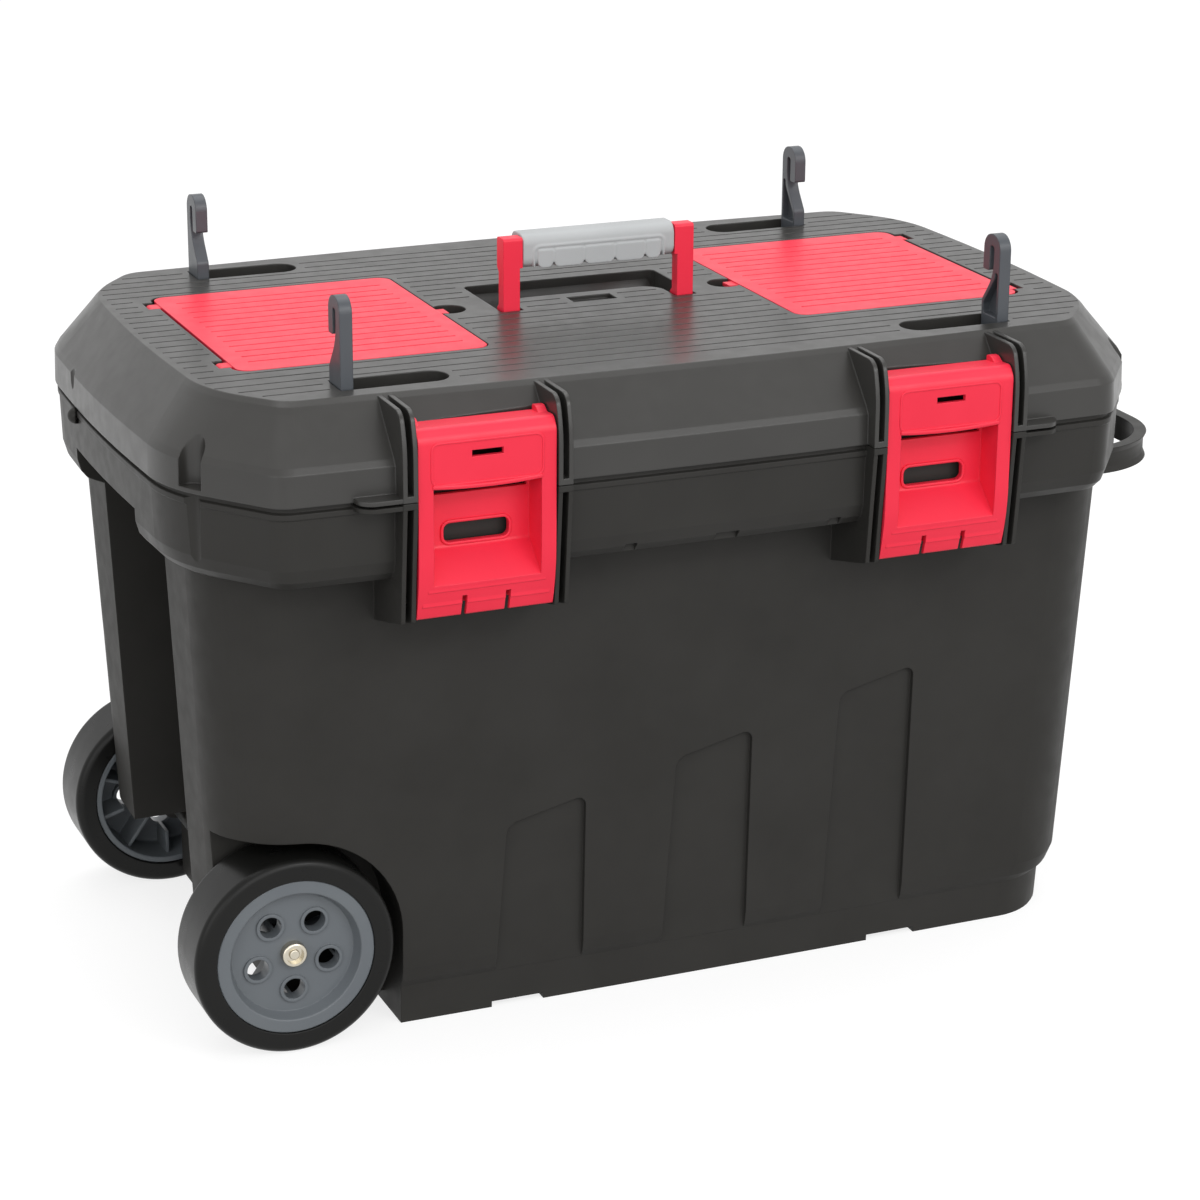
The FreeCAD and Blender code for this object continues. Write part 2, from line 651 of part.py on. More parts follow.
HOOK_SLOT_TIP = HOOK_PLACE - HOOK_RISE - HOOK_PIVOT_DROP - HOOK_TIP_GAP
HOOK_SLOT_FOOT = HOOK_PIVOT - HOOK_THICKNESS / 2 - HOOK_FLOOR_GAP
HOOK_SLOT_END = HOOK_PLACE + HOOK_THICKNESS / 2 + HOOK_END_GAP


def opening(x0, x1, y, z0, z1, cut):
    """Upright opening that is even about the X axis."""
    return plate(rectangle(x0, x1, -y, y, cut), z0, z1)


def handle_well(z0, z1):
    """Well of the carry handle: a trough behind the tongue and a channel for each arm."""
    corners = [
        (-WELL_HALF, WELL_FRONT, 0), (-TONGUE_HALF, WELL_FRONT, 0), (-TONGUE_HALF, TONGUE_EDGE, TONGUE_ROUND),
        (TONGUE_HALF, TONGUE_EDGE, TONGUE_ROUND), (TONGUE_HALF, WELL_FRONT, 0), (WELL_HALF, WELL_FRONT, 0),
        (WELL_HALF, WELL_BACK, WELL_ROUND), (-WELL_HALF, WELL_BACK, WELL_ROUND)]
    return plate(corners, z0, z1)


def hook_slot(side, row):
    """Slot in which one hook folds down: square at the hook, round at its inner end."""
    half = HOOK_SLOT_WIDTH / 2
    y = row * HOOK_DEPTH
    tip = NEARLY_ROUND * half
    corners = [(side * HOOK_SLOT_END, y - half, 0), (side * HOOK_SLOT_TIP, y - half, tip),
               (side * HOOK_SLOT_TIP, y + half, tip), (side * HOOK_SLOT_END, y + half, 0)]
    return plate(corners, HOOK_SLOT_FOOT, LID_TOP + HOOK_RISE)


def groove_lines(x_reach, y_reach, keep_out, top, offset=0.0):
    """Shallow grooves along X over a flat top, stopping short of whatever is in the way."""
    lines = []
    count = int(y_reach / LINE_PITCH)
    for step in range(-count, count + 1):
        y = step * LINE_PITCH
        reach = x_reach(abs(y)) - LINE_MARGIN
        spans = [(-reach, reach)]
        for x0, x1, y0, y1 in keep_out:
            if not y0 - LINE_MARGIN < y < y1 + LINE_MARGIN:
                continue
            left = x0 - LINE_MARGIN
            right = x1 + LINE_MARGIN
            kept = []
            for a, b in spans:
                kept += [(a, min(b, left)), (max(a, right), b)]
            spans = [(a, b) for a, b in kept if b - a > LINE_PITCH]
        for a, b in spans:
            lines.append(box(offset + a, offset + b, y - LINE_WIDTH / 2, y + LINE_WIDTH / 2,
                             top - LINE_SINK, top + OVERCUT))
    return lines


def lid_top_reach(y):
    """Half length of the lid's flat top at a distance from the X axis."""
    inset = SLOPE_INSET + TOP_EDGE_ROUND
    edge, end = cut_corner(inset)
    middle = LID_LENGTH / 2 - END_INSET_SHARE * inset
    if y < end[1]:
        return middle - (middle - end[0]) * y / end[1]
    return end[0] - (end[0] - edge[0]) * (y - end[1]) / (edge[1] - end[1])


def lid_keep_out():
    """Rectangles of the lid's top that the grooves stay clear of."""
    areas = [(-WELL_HALF, WELL_HALF, TONGUE_EDGE, WELL_BACK)]
    pocket = TONGUE_POCKET_LENGTH / 2
    areas.append((-pocket, pocket, ARM_PLACE - TONGUE_POCKET_DEPTH / 2, ARM_PLACE + TONGUE_POCKET_DEPTH))
    for side in SIDES:
        arm = sorted((side * TONGUE_HALF, side * WELL_HALF))
        areas.append((arm[0], arm[1], WELL_FRONT, TONGUE_EDGE))
        red = sorted((side * RED_X0, side * RED_X1))
        areas.append((red[0], red[1], -RED_Y, RED_Y))
        scoop = sorted((side * SCOOP_X, side * (SCOOP_X - SCOOP_DIAMETER / 2)))
        areas.append((scoop[0], scoop[1], -SCOOP_DIAMETER / 2, SCOOP_DIAMETER / 2))
        slot = sorted((side * HOOK_SLOT_TIP, side * HOOK_SLOT_END))
        for row in SIDES:
            y = row * HOOK_DEPTH
            areas.append((slot[0], slot[1], y - HOOK_SLOT_WIDTH / 2, y + HOOK_SLOT_WIDTH / 2))
            tab = sorted((side * RED_X1, side * TAB_POCKET_X1))
            middle = row * TAB_PLACE
            areas.append((tab[0], tab[1], middle - TAB_POCKET_WIDTH / 2, middle + TAB_POCKET_WIDTH / 2))
    return areas


def lid_outer():
    """Outer form of the lid, from the parting line to the rounded top edge."""
    slope_top = LID_TOP - TOP_EDGE_ROUND
    slope_foot = PART_LINE + CREASE_HEIGHT
    return stack([
        lid_ring(LID_FOOT, 0), lid_ring(slope_foot - CREASE_SOFT, CREASE_LEAN),
        lid_ring(slope_foot + CREASE_SOFT, CREASE_STEP),
        lid_ring(slope_top - CREASE_SOFT, SLOPE_INSET - CREASE_SOFT),
        lid_ring(slope_top + TOP_EDGE_LIFT, SLOPE_INSET + TOP_EDGE_LEAN),
        lid_ring(LID_TOP, SLOPE_INSET + TOP_EDGE_ROUND)])


def lid_hollow():
    """Space under the lid, inside its wall and top."""
    ceiling = LID_TOP - LID_WALL
    slope_foot = PART_LINE + CREASE_HEIGHT
    return stack([
        lid_ring(PART_LINE - OVERCUT, LID_WALL), lid_ring(slope_foot, LID_WALL + CREASE_STEP / 2),
        lid_ring(ceiling, SLOPE_INSET + LID_WALL)])


def make_lid():
    """Lid shell with its pockets, openings, fins and hinge knuckles."""
    spare = SEAT_WIDTH + POCKET_WALL
    blocks = [box(-WELL_HALF - spare, WELL_HALF + spare, WELL_FRONT - POCKET_WALL, WELL_BACK + POCKET_WALL,
                  WELL_FOOT - POCKET_WALL, LID_TOP)]
    cuts = [handle_well(WELL_FOOT, LID_TOP + OVERCUT)]
    pocket = TONGUE_POCKET_LENGTH / 2
    cuts.append(box(-pocket, pocket, ARM_PLACE, ARM_PLACE + TONGUE_POCKET_DEPTH,
                    LID_TOP - TONGUE_POCKET_SINK, LID_TOP + OVERCUT))
    gap = ORGANISER_GAP
    for side in SIDES:
        outer = (side * (RED_X0 - gap), side * (RED_X1 + RED_HINGE_GAP))
        inner = (side * (RED_X0 - gap + SEAT_WIDTH), side * (RED_X1 + gap - SEAT_WIDTH))
        frame = (side * (RED_X0 - gap - SCOOP_DIAMETER), side * (TAB_POCKET_X1 + POCKET_WALL))
        blocks.append(box(frame[0], frame[1], -RED_Y - spare, RED_Y + spare,
                          TAB_POCKET_FOOT - POCKET_WALL, LID_TOP))
        cuts.append(opening(*sorted(outer), RED_Y + gap, SEAT_HEIGHT, LID_TOP + OVERCUT,
                            ORGANISER_ROUND + gap))
        cuts.append(opening(*sorted(inner), RED_Y + gap - SEAT_WIDTH, PART_LINE, LID_TOP, ORGANISER_ROUND))
        scoop = V(side * SCOOP_X, 0, SCOOP_FOOT)
        cuts.append(Part.makeCylinder(SCOOP_DIAMETER / 2, SCOOP_DEPTH + OVERCUT, scoop))
        for row in SIDES:
            middle = row * TAB_PLACE
            half = TAB_POCKET_WIDTH / 2
            cuts.append(box(side * RED_X1, side * TAB_POCKET_X1, middle - half, middle + half,
                            TAB_POCKET_FOOT, LID_TOP + OVERCUT))
            slot_half = HOOK_SLOT_WIDTH / 2 + HOOK_PIN_HOLD + POCKET_WALL
            y = row * HOOK_DEPTH
            blocks.append(box(side * (HOOK_SLOT_TIP - POCKET_WALL), side * (HOOK_SLOT_END + POCKET_WALL),
                              y - slot_half, y + slot_half, HOOK_SLOT_FOOT - POCKET_WALL, LID_TOP))
            cuts.append(hook_slot(side, row))
    bay_top = LATCH_TOP + BAY_TOP_GAP
    blocks += bay_boxes(BAY_DEPTH, PART_LINE - OVERCUT, bay_top + LID_WALL, LID_WALL)
    blocks += corner_grooves(PART_LINE - OVERCUT, PART_LINE + GROOVE_TOP + LID_WALL, GROOVE_DEPTH, LID_WALL)
    hollow = lid_hollow().cut(blocks)
    shell = lid_outer().cut([hollow] + bay_boxes(BAY_DEPTH, PART_LINE - OVERCUT, bay_top, 0))
    shell = shell.cut(corner_grooves(PART_LINE + GROOVE_LEDGE, PART_LINE + GROOVE_TOP, GROOVE_DEPTH, 0))
    fin_top = LID_TOP - FIN_TOP_DROP
    root = LID_DEPTH / 2 - SLOPE_INSET - 2 * TOP_EDGE_ROUND - FRONT_BOW
    profile = [(-root, fin_top, 0), (-FIN_FRONT + FIN_TOP_LEAN, fin_top, FIN_TOP_ROUND),
               (-FIN_FRONT, fin_top - FIN_TOP_BEND, FIN_ROUND), (-FIN_FRONT, LID_FOOT, 0),
               (-BAY_DEPTH, LID_FOOT, 0), (-root, bay_top, 0)]
    bars = fin_bars(-FIN_FRONT, -BAY_DEPTH, LID_FOOT, LID_FOOT + FIN_GAP)
    ledges = flank_ledges(LID_WALL / 2, LID_FOOT, LID_FOOT + NOSE_HEIGHT)
    solid = join([shell] + fin_pairs(profile) + bars + ledges + knuckles(True))
    cuts += hinge_rods(bore(HINGE_PIN_DIAMETER))
    cuts += organiser_rods(bore(ORGANISER_PIN_DIAMETER))
    cuts += handle_rods(bore(HANDLE_PIN_DIAMETER))
    cuts += hook_rods(bore(HOOK_PIN_DIAMETER))
    cuts += end_ovals()
    line_reach = LID_DEPTH / 2 - SLOPE_INSET - FRONT_BOW - TOP_EDGE_ROUND - LINE_MARGIN
    return solid.cut(cuts).cut(groove_lines(lid_top_reach, line_reach, lid_keep_out(), LID_TOP))


def end_ovals():
    """Oblong dimple on each end slope of the lid."""
    ovals = []
    for side in SIDES:
        middle = V(side * lid_end_at(STUD_PLACE), -side * STUD_PLACE, PART_LINE + CREASE_HEIGHT)
        oval = Part.makeSphere(0.5)
        stretch = FreeCAD.Matrix()
        stretch.scale(2 * OVAL_SINK, OVAL_WIDTH, OVAL_LENGTH)
        oval = oval.transformGeometry(stretch)
        oval.translate(middle)
        ovals.append(oval)
    return ovals


def organiser_rods(diameter):
    """Hinge pins of the red lids, two to a lid."""
    half = TAB_POCKET_WIDTH / 2 + POCKET_WALL
    rods = []
    for side in SIDES:
        for row in SIDES:
            middle = row * TAB_PLACE
            rods.append(rod(diameter, V(side * TAB_LINE, middle - half, TAB_HEIGHT),
                            V(side * TAB_LINE, middle + half, TAB_HEIGHT)))
    return rods


def handle_rods(diameter):
    """Pivot pins of the carry handle, one to an arm."""
    rods = []
    for side in SIDES:
        rods.append(rod(diameter, V(side * (TONGUE_HALF - HANDLE_PIN_HOLD), ARM_PLACE, HANDLE_PIVOT),
                        V(side * (WELL_HALF + HANDLE_PIN_HOLD), ARM_PLACE, HANDLE_PIVOT)))
    return rods


def hook_rods(diameter):
    """Pivot pins of the four hooks."""
    half = HOOK_SLOT_WIDTH / 2 + HOOK_PIN_HOLD
    return [rod(diameter, V(side * HOOK_PLACE, row * HOOK_DEPTH - half, HOOK_PIVOT),
                V(side * HOOK_PLACE, row * HOOK_DEPTH + half, HOOK_PIVOT)) for side in SIDES for row in SIDES]


def make_tray(side):
    """Organiser tray that hangs in an opening by its flange."""
    gap = ORGANISER_GAP - TRAY_GAP
    flange = sorted((side * (RED_X0 - gap), side * (RED_X1 + gap)))
    inset = SEAT_WIDTH - ORGANISER_GAP + TRAY_GAP
    wall = sorted((side * (RED_X0 + inset), side * (RED_X1 - inset)))
    depth = RED_Y - inset
    foot = FLANGE_TOP - TRAY_HEIGHT
    tray = opening(wall[0], wall[1], depth, foot, FLANGE_TOP, ORGANISER_ROUND)
    tray = tray.fuse(opening(flange[0], flange[1], RED_Y + gap, SEAT_HEIGHT, FLANGE_TOP,
                             ORGANISER_ROUND + gap))
    space = opening(wall[0] + TRAY_WALL, wall[1] - TRAY_WALL, depth - TRAY_WALL, foot + TRAY_WALL, LID_TOP,
                    ORGANISER_ROUND - TRAY_WALL)
    pockets = []
    for row in SIDES:
        middle = row * TAB_PLACE
        half = TAB_POCKET_WIDTH / 2
        clear = TAB_LINE - TAB_DIAMETER / 2 - ORGANISER_GAP
        pockets.append(box(side * clear, side * FAR, middle - half, middle + half, foot, LID_TOP))
    scoop = Part.makeCylinder(SCOOP_DIAMETER / 2, LID_HEIGHT, V(side * SCOOP_X, 0, SEAT_HEIGHT - OVERCUT))
    return tray.cut([space, scoop] + pockets)


def make_organiser_lid(side):
    """Red lid: grooved plate with two hinge barrels at its outer edge and a snap tab at its inner edge."""
    solid = opening(*sorted((side * RED_X0, side * RED_X1)), RED_Y, RED_FOOT, RED_TOP, ORGANISER_ROUND)
    extras = []
    for row in SIDES:
        middle = row * TAB_PLACE
        half = TAB_WIDTH / 2
        extras.append(rod(TAB_DIAMETER, V(side * TAB_LINE, middle - half, TAB_HEIGHT),
                          V(side * TAB_LINE, middle + half, TAB_HEIGHT)))
        extras.append(box(side * (RED_X1 - ORGANISER_THICKNESS), side * TAB_LINE,
                          middle - half, middle + half, RED_FOOT, TAB_HEIGHT + TAB_DIAMETER / 2))
    tab_top = RED_TOP - LINE_SINK
    extras.append(box(side * (RED_X0 - SNAP_REACH), side * (RED_X0 + SNAP_REACH),
                      -SNAP_WIDTH / 2, SNAP_WIDTH / 2, tab_top - SNAP_THICKNESS, tab_top))
    solid = join([solid] + extras)
    half = (RED_X1 - RED_X0 - LINE_PITCH) / 2
    middle = side * (RED_X0 + RED_X1) / 2
    lines = groove_lines(lambda y: half, RED_Y - ORGANISER_ROUND, [], RED_TOP, middle)
    return solid.cut(lines + organiser_rods(bore(ORGANISER_PIN_DIAMETER)))


def make_carry_handle():
    """Two arms with a thicker head and foot, joined by the core bar that carries the grip."""
    top = LID_TOP + HANDLE_RISE
    front = ARM_PLACE - ARM_DEPTH / 2
    back = front + ARM_DEPTH
    shank = front + SHANK_DEPTH
    foot = HANDLE_PIVOT - ARM_DEPTH / 2
    turn = NEARLY_ROUND * ARM_DEPTH / 2
    step_foot = HANDLE_PIVOT + ARM_FOOT_RISE
    head_foot = top - HEAD_HEIGHT
    head = [(front, head_foot, 0), (back, head_foot, 0), (back, top, ARM_ROUND), (front, top, ARM_ROUND)]
    profile = [(front, foot, turn), (back, foot, turn), (back, step_foot, 0),
               (shank, step_foot + ARM_STEP, 0), (shank, head_foot - ARM_STEP, 0)] + head[1:]
    outer = HANDLE_SPAN / 2
    pieces = []
    for side in SIDES:
        pieces.append(side_plate(profile, side * (outer - ARM_WIDTH), side * outer))
        pieces.append(side_plate(head, side * (outer - HEAD_WIDTH), side * (outer - ARM_WIDTH / 2)))
    core_foot = core_height() - CORE_HEIGHT / 2
    core_front = front + ARM_ROUND
    pieces.append(box(-outer + ARM_WIDTH / 2, outer - ARM_WIDTH / 2, core_front, core_front + CORE_WIDTH,
                      core_foot, core_foot + CORE_HEIGHT))
    return join(pieces).cut(handle_rods(bore(HANDLE_PIN_DIAMETER)))


def core_height():
    """Height of the core bar's middle, which is the grip's too."""
    return LID_TOP + HANDLE_RISE + GRIP_OVER - GRIP_HEIGHT / 2


def make_grip():
    """Soft grip sleeved on the core bar between the arms, with a row of finger lobes at its front."""
    half = HANDLE_SPAN / 2 - HEAD_WIDTH - GRIP_END_GAP
    front = ARM_PLACE - ARM_DEPTH / 2
    back = front + GRIP_DEPTH
    foot = core_height() - GRIP_HEIGHT / 2
    top = foot + GRIP_HEIGHT
    pieces = [side_plate(rectangle(front, back, foot, top, GRIP_ROUND), -half, half)]
    row = LOBE_FULL * LOBE_PITCH / 2
    spans = [(-row - LOBE_END, -row, LOBE_DROP / 2), (row, row + LOBE_END, LOBE_DROP / 2)]
    for step in range(LOBE_FULL):
        start = -row + step * LOBE_PITCH
        spans.append((start, start + LOBE_PITCH, LOBE_DROP))
    for x0, x1, drop in spans:
        a = x0 + LOBE_GAP / 2
        b = x1 - LOBE_GAP / 2
        turn = min(LOBE_ROUND, NEARLY_ROUND * (b - a) / 2)
        lobe = [(a, foot - drop, turn), (b, foot - drop, turn), (b, foot + LOBE_HEIGHT, LOBE_EDGE),
                (a, foot + LOBE_HEIGHT, LOBE_EDGE)]
        pieces.append(front_plate(lobe, front - LOBE_PROUD, front + LOBE_DEPTH))
    return join(pieces).cut(make_carry_handle())


def make_hook(side, row):
    """Fold-away hook: a plate across X with a stem at its outer edge and a curl towards the middle."""
    stem = HOOK_STEM
    mouth = stem + HOOK_MOUTH
    top = HOOK_RISE
    width = HOOK_WIDTH
    turn = NEARLY_ROUND * HOOK_MOUTH / 2
    points = [
        (0, -HOOK_PIVOT_DROP, 0), (0, top, HOOK_CURL), (width, top, HOOK_CURL), (width, HOOK_TIP, HOOK_EDGE),
        (mouth, HOOK_TIP, HOOK_EDGE), (mouth, top - stem, turn), (stem, top - stem, turn),
        (stem, HOOK_THROAT, HOOK_CURL), (width, HOOK_BASE, HOOK_EDGE), (width, -HOOK_PIVOT_DROP, 0)]
    edge = row * (HOOK_DEPTH + HOOK_WIDTH / 2)
    corners = [(edge - row * u, LID_TOP + w, cut) for u, w, cut in points]
    half = HOOK_THICKNESS / 2
    hook = side_plate(corners, side * HOOK_PLACE - half, side * HOOK_PLACE + half)
    barrel = rod(HOOK_THICKNESS, V(side * HOOK_PLACE, edge, HOOK_PIVOT),
                 V(side * HOOK_PLACE, edge - row * width, HOOK_PIVOT))
    wall = HOOK_CORE_WALL
    inner = side * (HOOK_PLACE - half)
    core_top = LID_TOP + HOOK_TIP
    core_foot = LID_TOP + wall
    core = [(edge - row * wall, core_foot, HOOK_EDGE), (edge - row * wall, core_top, HOOK_EDGE),
            (edge - row * (stem - wall), core_top, HOOK_EDGE),
            (edge - row * (stem - wall), LID_TOP + HOOK_THROAT - wall, HOOK_EDGE),
            (edge - row * (width - wall), LID_TOP + HOOK_BASE - wall, HOOK_EDGE),
            (edge - row * (width - wall), core_foot, HOOK_EDGE)]
    hollow = side_plate(core, inner - side * OVERCUT, inner + side * HOOK_CORE_DEPTH)
    return hook.fuse(barrel).removeSplitter().cut([hollow] + hook_rods(bore(HOOK_PIN_DIAMETER)))


def make_latch(side):
    """Latch: a hollow-backed plate with a finger pocket, a ledge at its top and a barrel at its pivot."""
    middle = side * LATCH_PLACE
    half = LATCH_WIDTH / 2
    face = LATCH_FACE
    wall = LATCH_WALL
    ledge = LATCH_TOP - LATCH_LEDGE_FALL
    bend = LATCH_FOOT + LATCH_FOOT_BEND
    skin = [(-face + LATCH_FOOT_LEAN, LATCH_FOOT, LATCH_EDGE), (-face, bend, LATCH_FOOT_ROUND),
            (-face, LATCH_TOP - LATCH_TOP_BEND, LATCH_TOP_ROUND),
            (-face + LATCH_TOP_LEAN, LATCH_TOP, LATCH_TOP_ROUND), (-LATCH_LEDGE, ledge, 0)]
    outside = skin + [(-LATCH_LEDGE, ledge - 2 * wall, 0), (-POCKET_BACK, bend, 0),
                      (-LATCH_PIVOT_DEPTH, LATCH_FOOT, 0)]
    open_back = -LATCH_LEDGE + OVERCUT
    inside = [(-face + LATCH_FOOT_LEAN + wall, LATCH_FOOT - OVERCUT, 0), (-face + wall, bend, 0),
              (-face + wall, LATCH_TOP - LATCH_TOP_BEND - OVERCUT, 0),
              (-face + LATCH_TOP_LEAN + OVERCUT, LATCH_TOP - wall, 0),
              (open_back, ledge - wall, 0), (open_back, LATCH_FOOT - OVERCUT, 0)]
    body = side_plate(outside, middle - half, middle + half)
    body = body.cut(side_plate(inside, middle - half + wall, middle + half - wall))
    pieces = [body]
    ear_top = LATCH_TOP + LATCH_EAR_RISE
    ear = [(-LATCH_LEDGE, ledge - wall, 0), (-LATCH_LEDGE, ear_top, LATCH_EDGE),
           (-LATCH_LEDGE - LATCH_EAR_FLAT, ear_top, LATCH_EDGE),
           (-LATCH_LEDGE - LATCH_EAR_LENGTH, LATCH_TOP - wall, 0)]
    for flank in SIDES:
        pieces.append(side_plate(ear, middle + flank * half, middle + flank * (half - LATCH_EAR_WIDTH)))
    pocket_half = POCKET_WIDTH / 2
    pocket_wall = [(-face + wall / 2, POCKET_LIP + wall, 0), (-POCKET_BACK + wall, POCKET_LIP + wall, 0),
                   (-POCKET_BACK + wall, POCKET_BACK_FOOT - OVERCUT, 0),
                   (-face + wall / 2, POCKET_RAMP_FOOT - wall, 0)]
    pieces.append(side_plate(pocket_wall, middle - pocket_half - wall, middle + pocket_half + wall))
    pin = LATCH_BARREL_DIAMETER
    pivot = (LATCH_PIVOT_DEPTH, LATCH_PIVOT_HEIGHT)
    pieces.append(rod(pin, V(middle - half, -pivot[0], pivot[1]), V(middle + half, -pivot[0], pivot[1])))
    pieces.append(box(middle - half + wall, middle + half - wall, -face + wall, -pivot[0],
                      pivot[1] - pin / 4, pivot[1] + pin / 4))
    front = -face - LATCH_TOP_BEND
    space = [(front, POCKET_LIP, 0), (-POCKET_BACK, POCKET_LIP, 0),
             (-POCKET_BACK, POCKET_BACK_FOOT, LATCH_EDGE), (-face, POCKET_RAMP_FOOT, 0),
             (front, POCKET_RAMP_FOOT, 0)]
    cuts = [side_plate(space, middle - pocket_half, middle + pocket_half)]
    eye = rectangle(middle - EYE_LENGTH / 2, middle + EYE_LENGTH / 2, EYE_PLACE - EYE_HEIGHT / 2,
                    EYE_PLACE + EYE_HEIGHT / 2, EYE_ROUND)
    cuts.append(front_plate(eye, -face, -POCKET_BACK + 2 * wall))
    cuts.append(box(middle - pocket_half + wall / 2, middle + pocket_half - wall / 2, -POCKET_BACK - OVERCUT,
                    -POCKET_BACK + 2 * wall, POCKET_LIP - POCKET_GAP, POCKET_LIP - wall / 4))
    cuts.append(box(middle - SLOT_LENGTH / 2, middle + SLOT_LENGTH / 2, -face - OVERCUT, -face + 2 * wall,
                    SLOT_PLACE - SLOT_HEIGHT / 2, SLOT_PLACE + SLOT_HEIGHT / 2))
    for flank in SIDES:
        at = middle + flank * SLIT_SPACING / 2
        cuts.append(box(at - SLIT_WIDTH / 2, at + SLIT_WIDTH / 2, -face - OVERCUT, -pivot[0] - pin / 4,
                        LATCH_FOOT - OVERCUT, LATCH_FOOT + SLIT_LENGTH))
    return join(pieces).cut(cuts + latch_rods(bore(LATCH_PIN_DIAMETER)))


def latch_rods(diameter):
    """Pivot pins of the latches, held in the nearest fins."""
    half = BAY_HALF + FIN_THICKNESS
    return [rod(diameter, V(side * LATCH_PLACE - half, -LATCH_PIVOT_DEPTH, LATCH_PIVOT_HEIGHT),
                V(side * LATCH_PLACE + half, -LATCH_PIVOT_DEPTH, LATCH_PIVOT_HEIGHT)) for side in SIDES]


def tub_outer():
    """Outer form of the tub: plinth, drafted wall and overhanging rim."""
    wall_foot = PLINTH_HEIGHT + WALL_FOOT_ROUND
    bend = WALL_FOOT_BEND
    neck = TUB_TOP - NECK_HEIGHT
    bead = neck - BEAD_HEIGHT
    rings = [wall_ring(0, PLINTH_SETBACK, PLINTH_END_SETBACK)]
    rings.append(wall_ring(PLINTH_HEIGHT, PLINTH_SETBACK, PLINTH_END_SETBACK))
    rings.append(wall_ring(PLINTH_HEIGHT + bend * WALL_FOOT_ROUND, bend * PLINTH_SETBACK,
                           bend * PLINTH_END_SETBACK))
    rings += [wall_ring(wall_foot, 0), wall_ring(RIM_FOOT, 0)]
    rings += [lid_ring(RIM_FOOT + rise, RIM_SETBACK + inset) for rise, inset in RIM_CURVE]
    rings += [lid_ring(bead - BEAD_EDGE, RIM_SETBACK + BEAD_RISE), lid_ring(bead, RIM_SETBACK)]
    rings += [lid_ring(neck - BEAD_EDGE, RIM_SETBACK), lid_ring(neck, RIM_SETBACK + NECK_SINK)]
    rings.append(lid_ring(TUB_TOP, RIM_SETBACK + NECK_SINK))
    return stack(rings)


def wheel_space(spare):
    """Room for the wheels: an arch before each wheel, open below and at the end, larger by a spare wall."""
    radius = ARCH_RADIUS + spare
    top = AXLE_HEIGHT + radius
    crown = NEARLY_ROUND * radius
    arch = [(-LID_LENGTH, -OVERCUT, 0), (WHEEL_PLACE + radius, -OVERCUT, 0),
            (WHEEL_PLACE + radius, top, crown), (-LID_LENGTH, top, 0)]
    return [front_plate(arch, row * (WELL_INNER - spare), row * LID_DEPTH) for row in SIDES]


def end_recess(spare):
    """Recess between the posts at the wheel end, and the room below the posts."""
    half = RECESS_WIDTH / 2 + spare
    back = -RECESS_BACK + spare
    top = PART_LINE - RECESS_RIM + spare
    return [box(-FAR, back, -half, half, -OVERCUT, top),
            box(-FAR, back, -LID_DEPTH, LID_DEPTH, -OVERCUT, POST_FOOT + spare)]


def tub_cavity():
    """Inside of the tub, clear of the recess, the wheels and the latch bays."""
    floor = FOOT_HEIGHT + TUB_FLOOR
    plinth = (PLINTH_SETBACK + TUB_WALL, PLINTH_END_SETBACK + TUB_WALL)
    step = RIM_FOOT + TUB_WALL
    lower = stack([wall_ring(floor, *plinth), wall_ring(PLINTH_HEIGHT + TUB_WALL, *plinth),
                   wall_ring(PLINTH_HEIGHT + TUB_WALL + WALL_FOOT_ROUND, TUB_WALL),
                   wall_ring(step + RIM_CURVE[0][0] + OVERCUT, TUB_WALL)])
    inset = RIM_SETBACK + TUB_WALL + NECK_SINK
    rings = [lid_ring(step + rise, inset + back) for rise, back in RIM_CURVE]
    upper = stack(rings + [lid_ring(PART_LINE + OVERCUT, inset)])
    blocks = wheel_space(TUB_WALL) + end_recess(TUB_WALL) + relief_bands(TUB_WALL)
    blocks += bay_boxes(BAY_DEPTH, RIM_FOOT - OVERCUT, PART_LINE + 2 * OVERCUT, TUB_WALL)
    blocks += corner_grooves(RIM_FOOT, PART_LINE + 2 * OVERCUT, RIM_GROOVE_DEPTH, TUB_WALL)
    return lower.fuse(upper).cut(blocks)


def relief_bands(spare):
    """Sunk bands on the front and rear walls, rising towards the pull handle, larger by a spare wall."""
    sink = BAND_SINK + spare
    foot = PLINTH_HEIGHT - OVERCUT
    core = stack([wall_ring(-OVERCUT, sink), wall_ring(RIM_FOOT, sink)])
    bands = []
    for step in range(BAND_COUNT):
        x0 = BAND_FIRST + step * BAND_PITCH - spare
        x1 = x0 + BAND_WIDTH + 2 * spare
        top = BAND_HEIGHT + step * BAND_RISE + spare
        corners = [(x0 - BAND_LEAN, foot, 0), (x1, foot, 0), (x1, top + BAND_SLOPE, BAND_ROUND),
                   (x0, top, BAND_ROUND)]
        bands += [front_plate(corners, 0, row * LID_DEPTH).cut(core) for row in SIDES]
    return bands


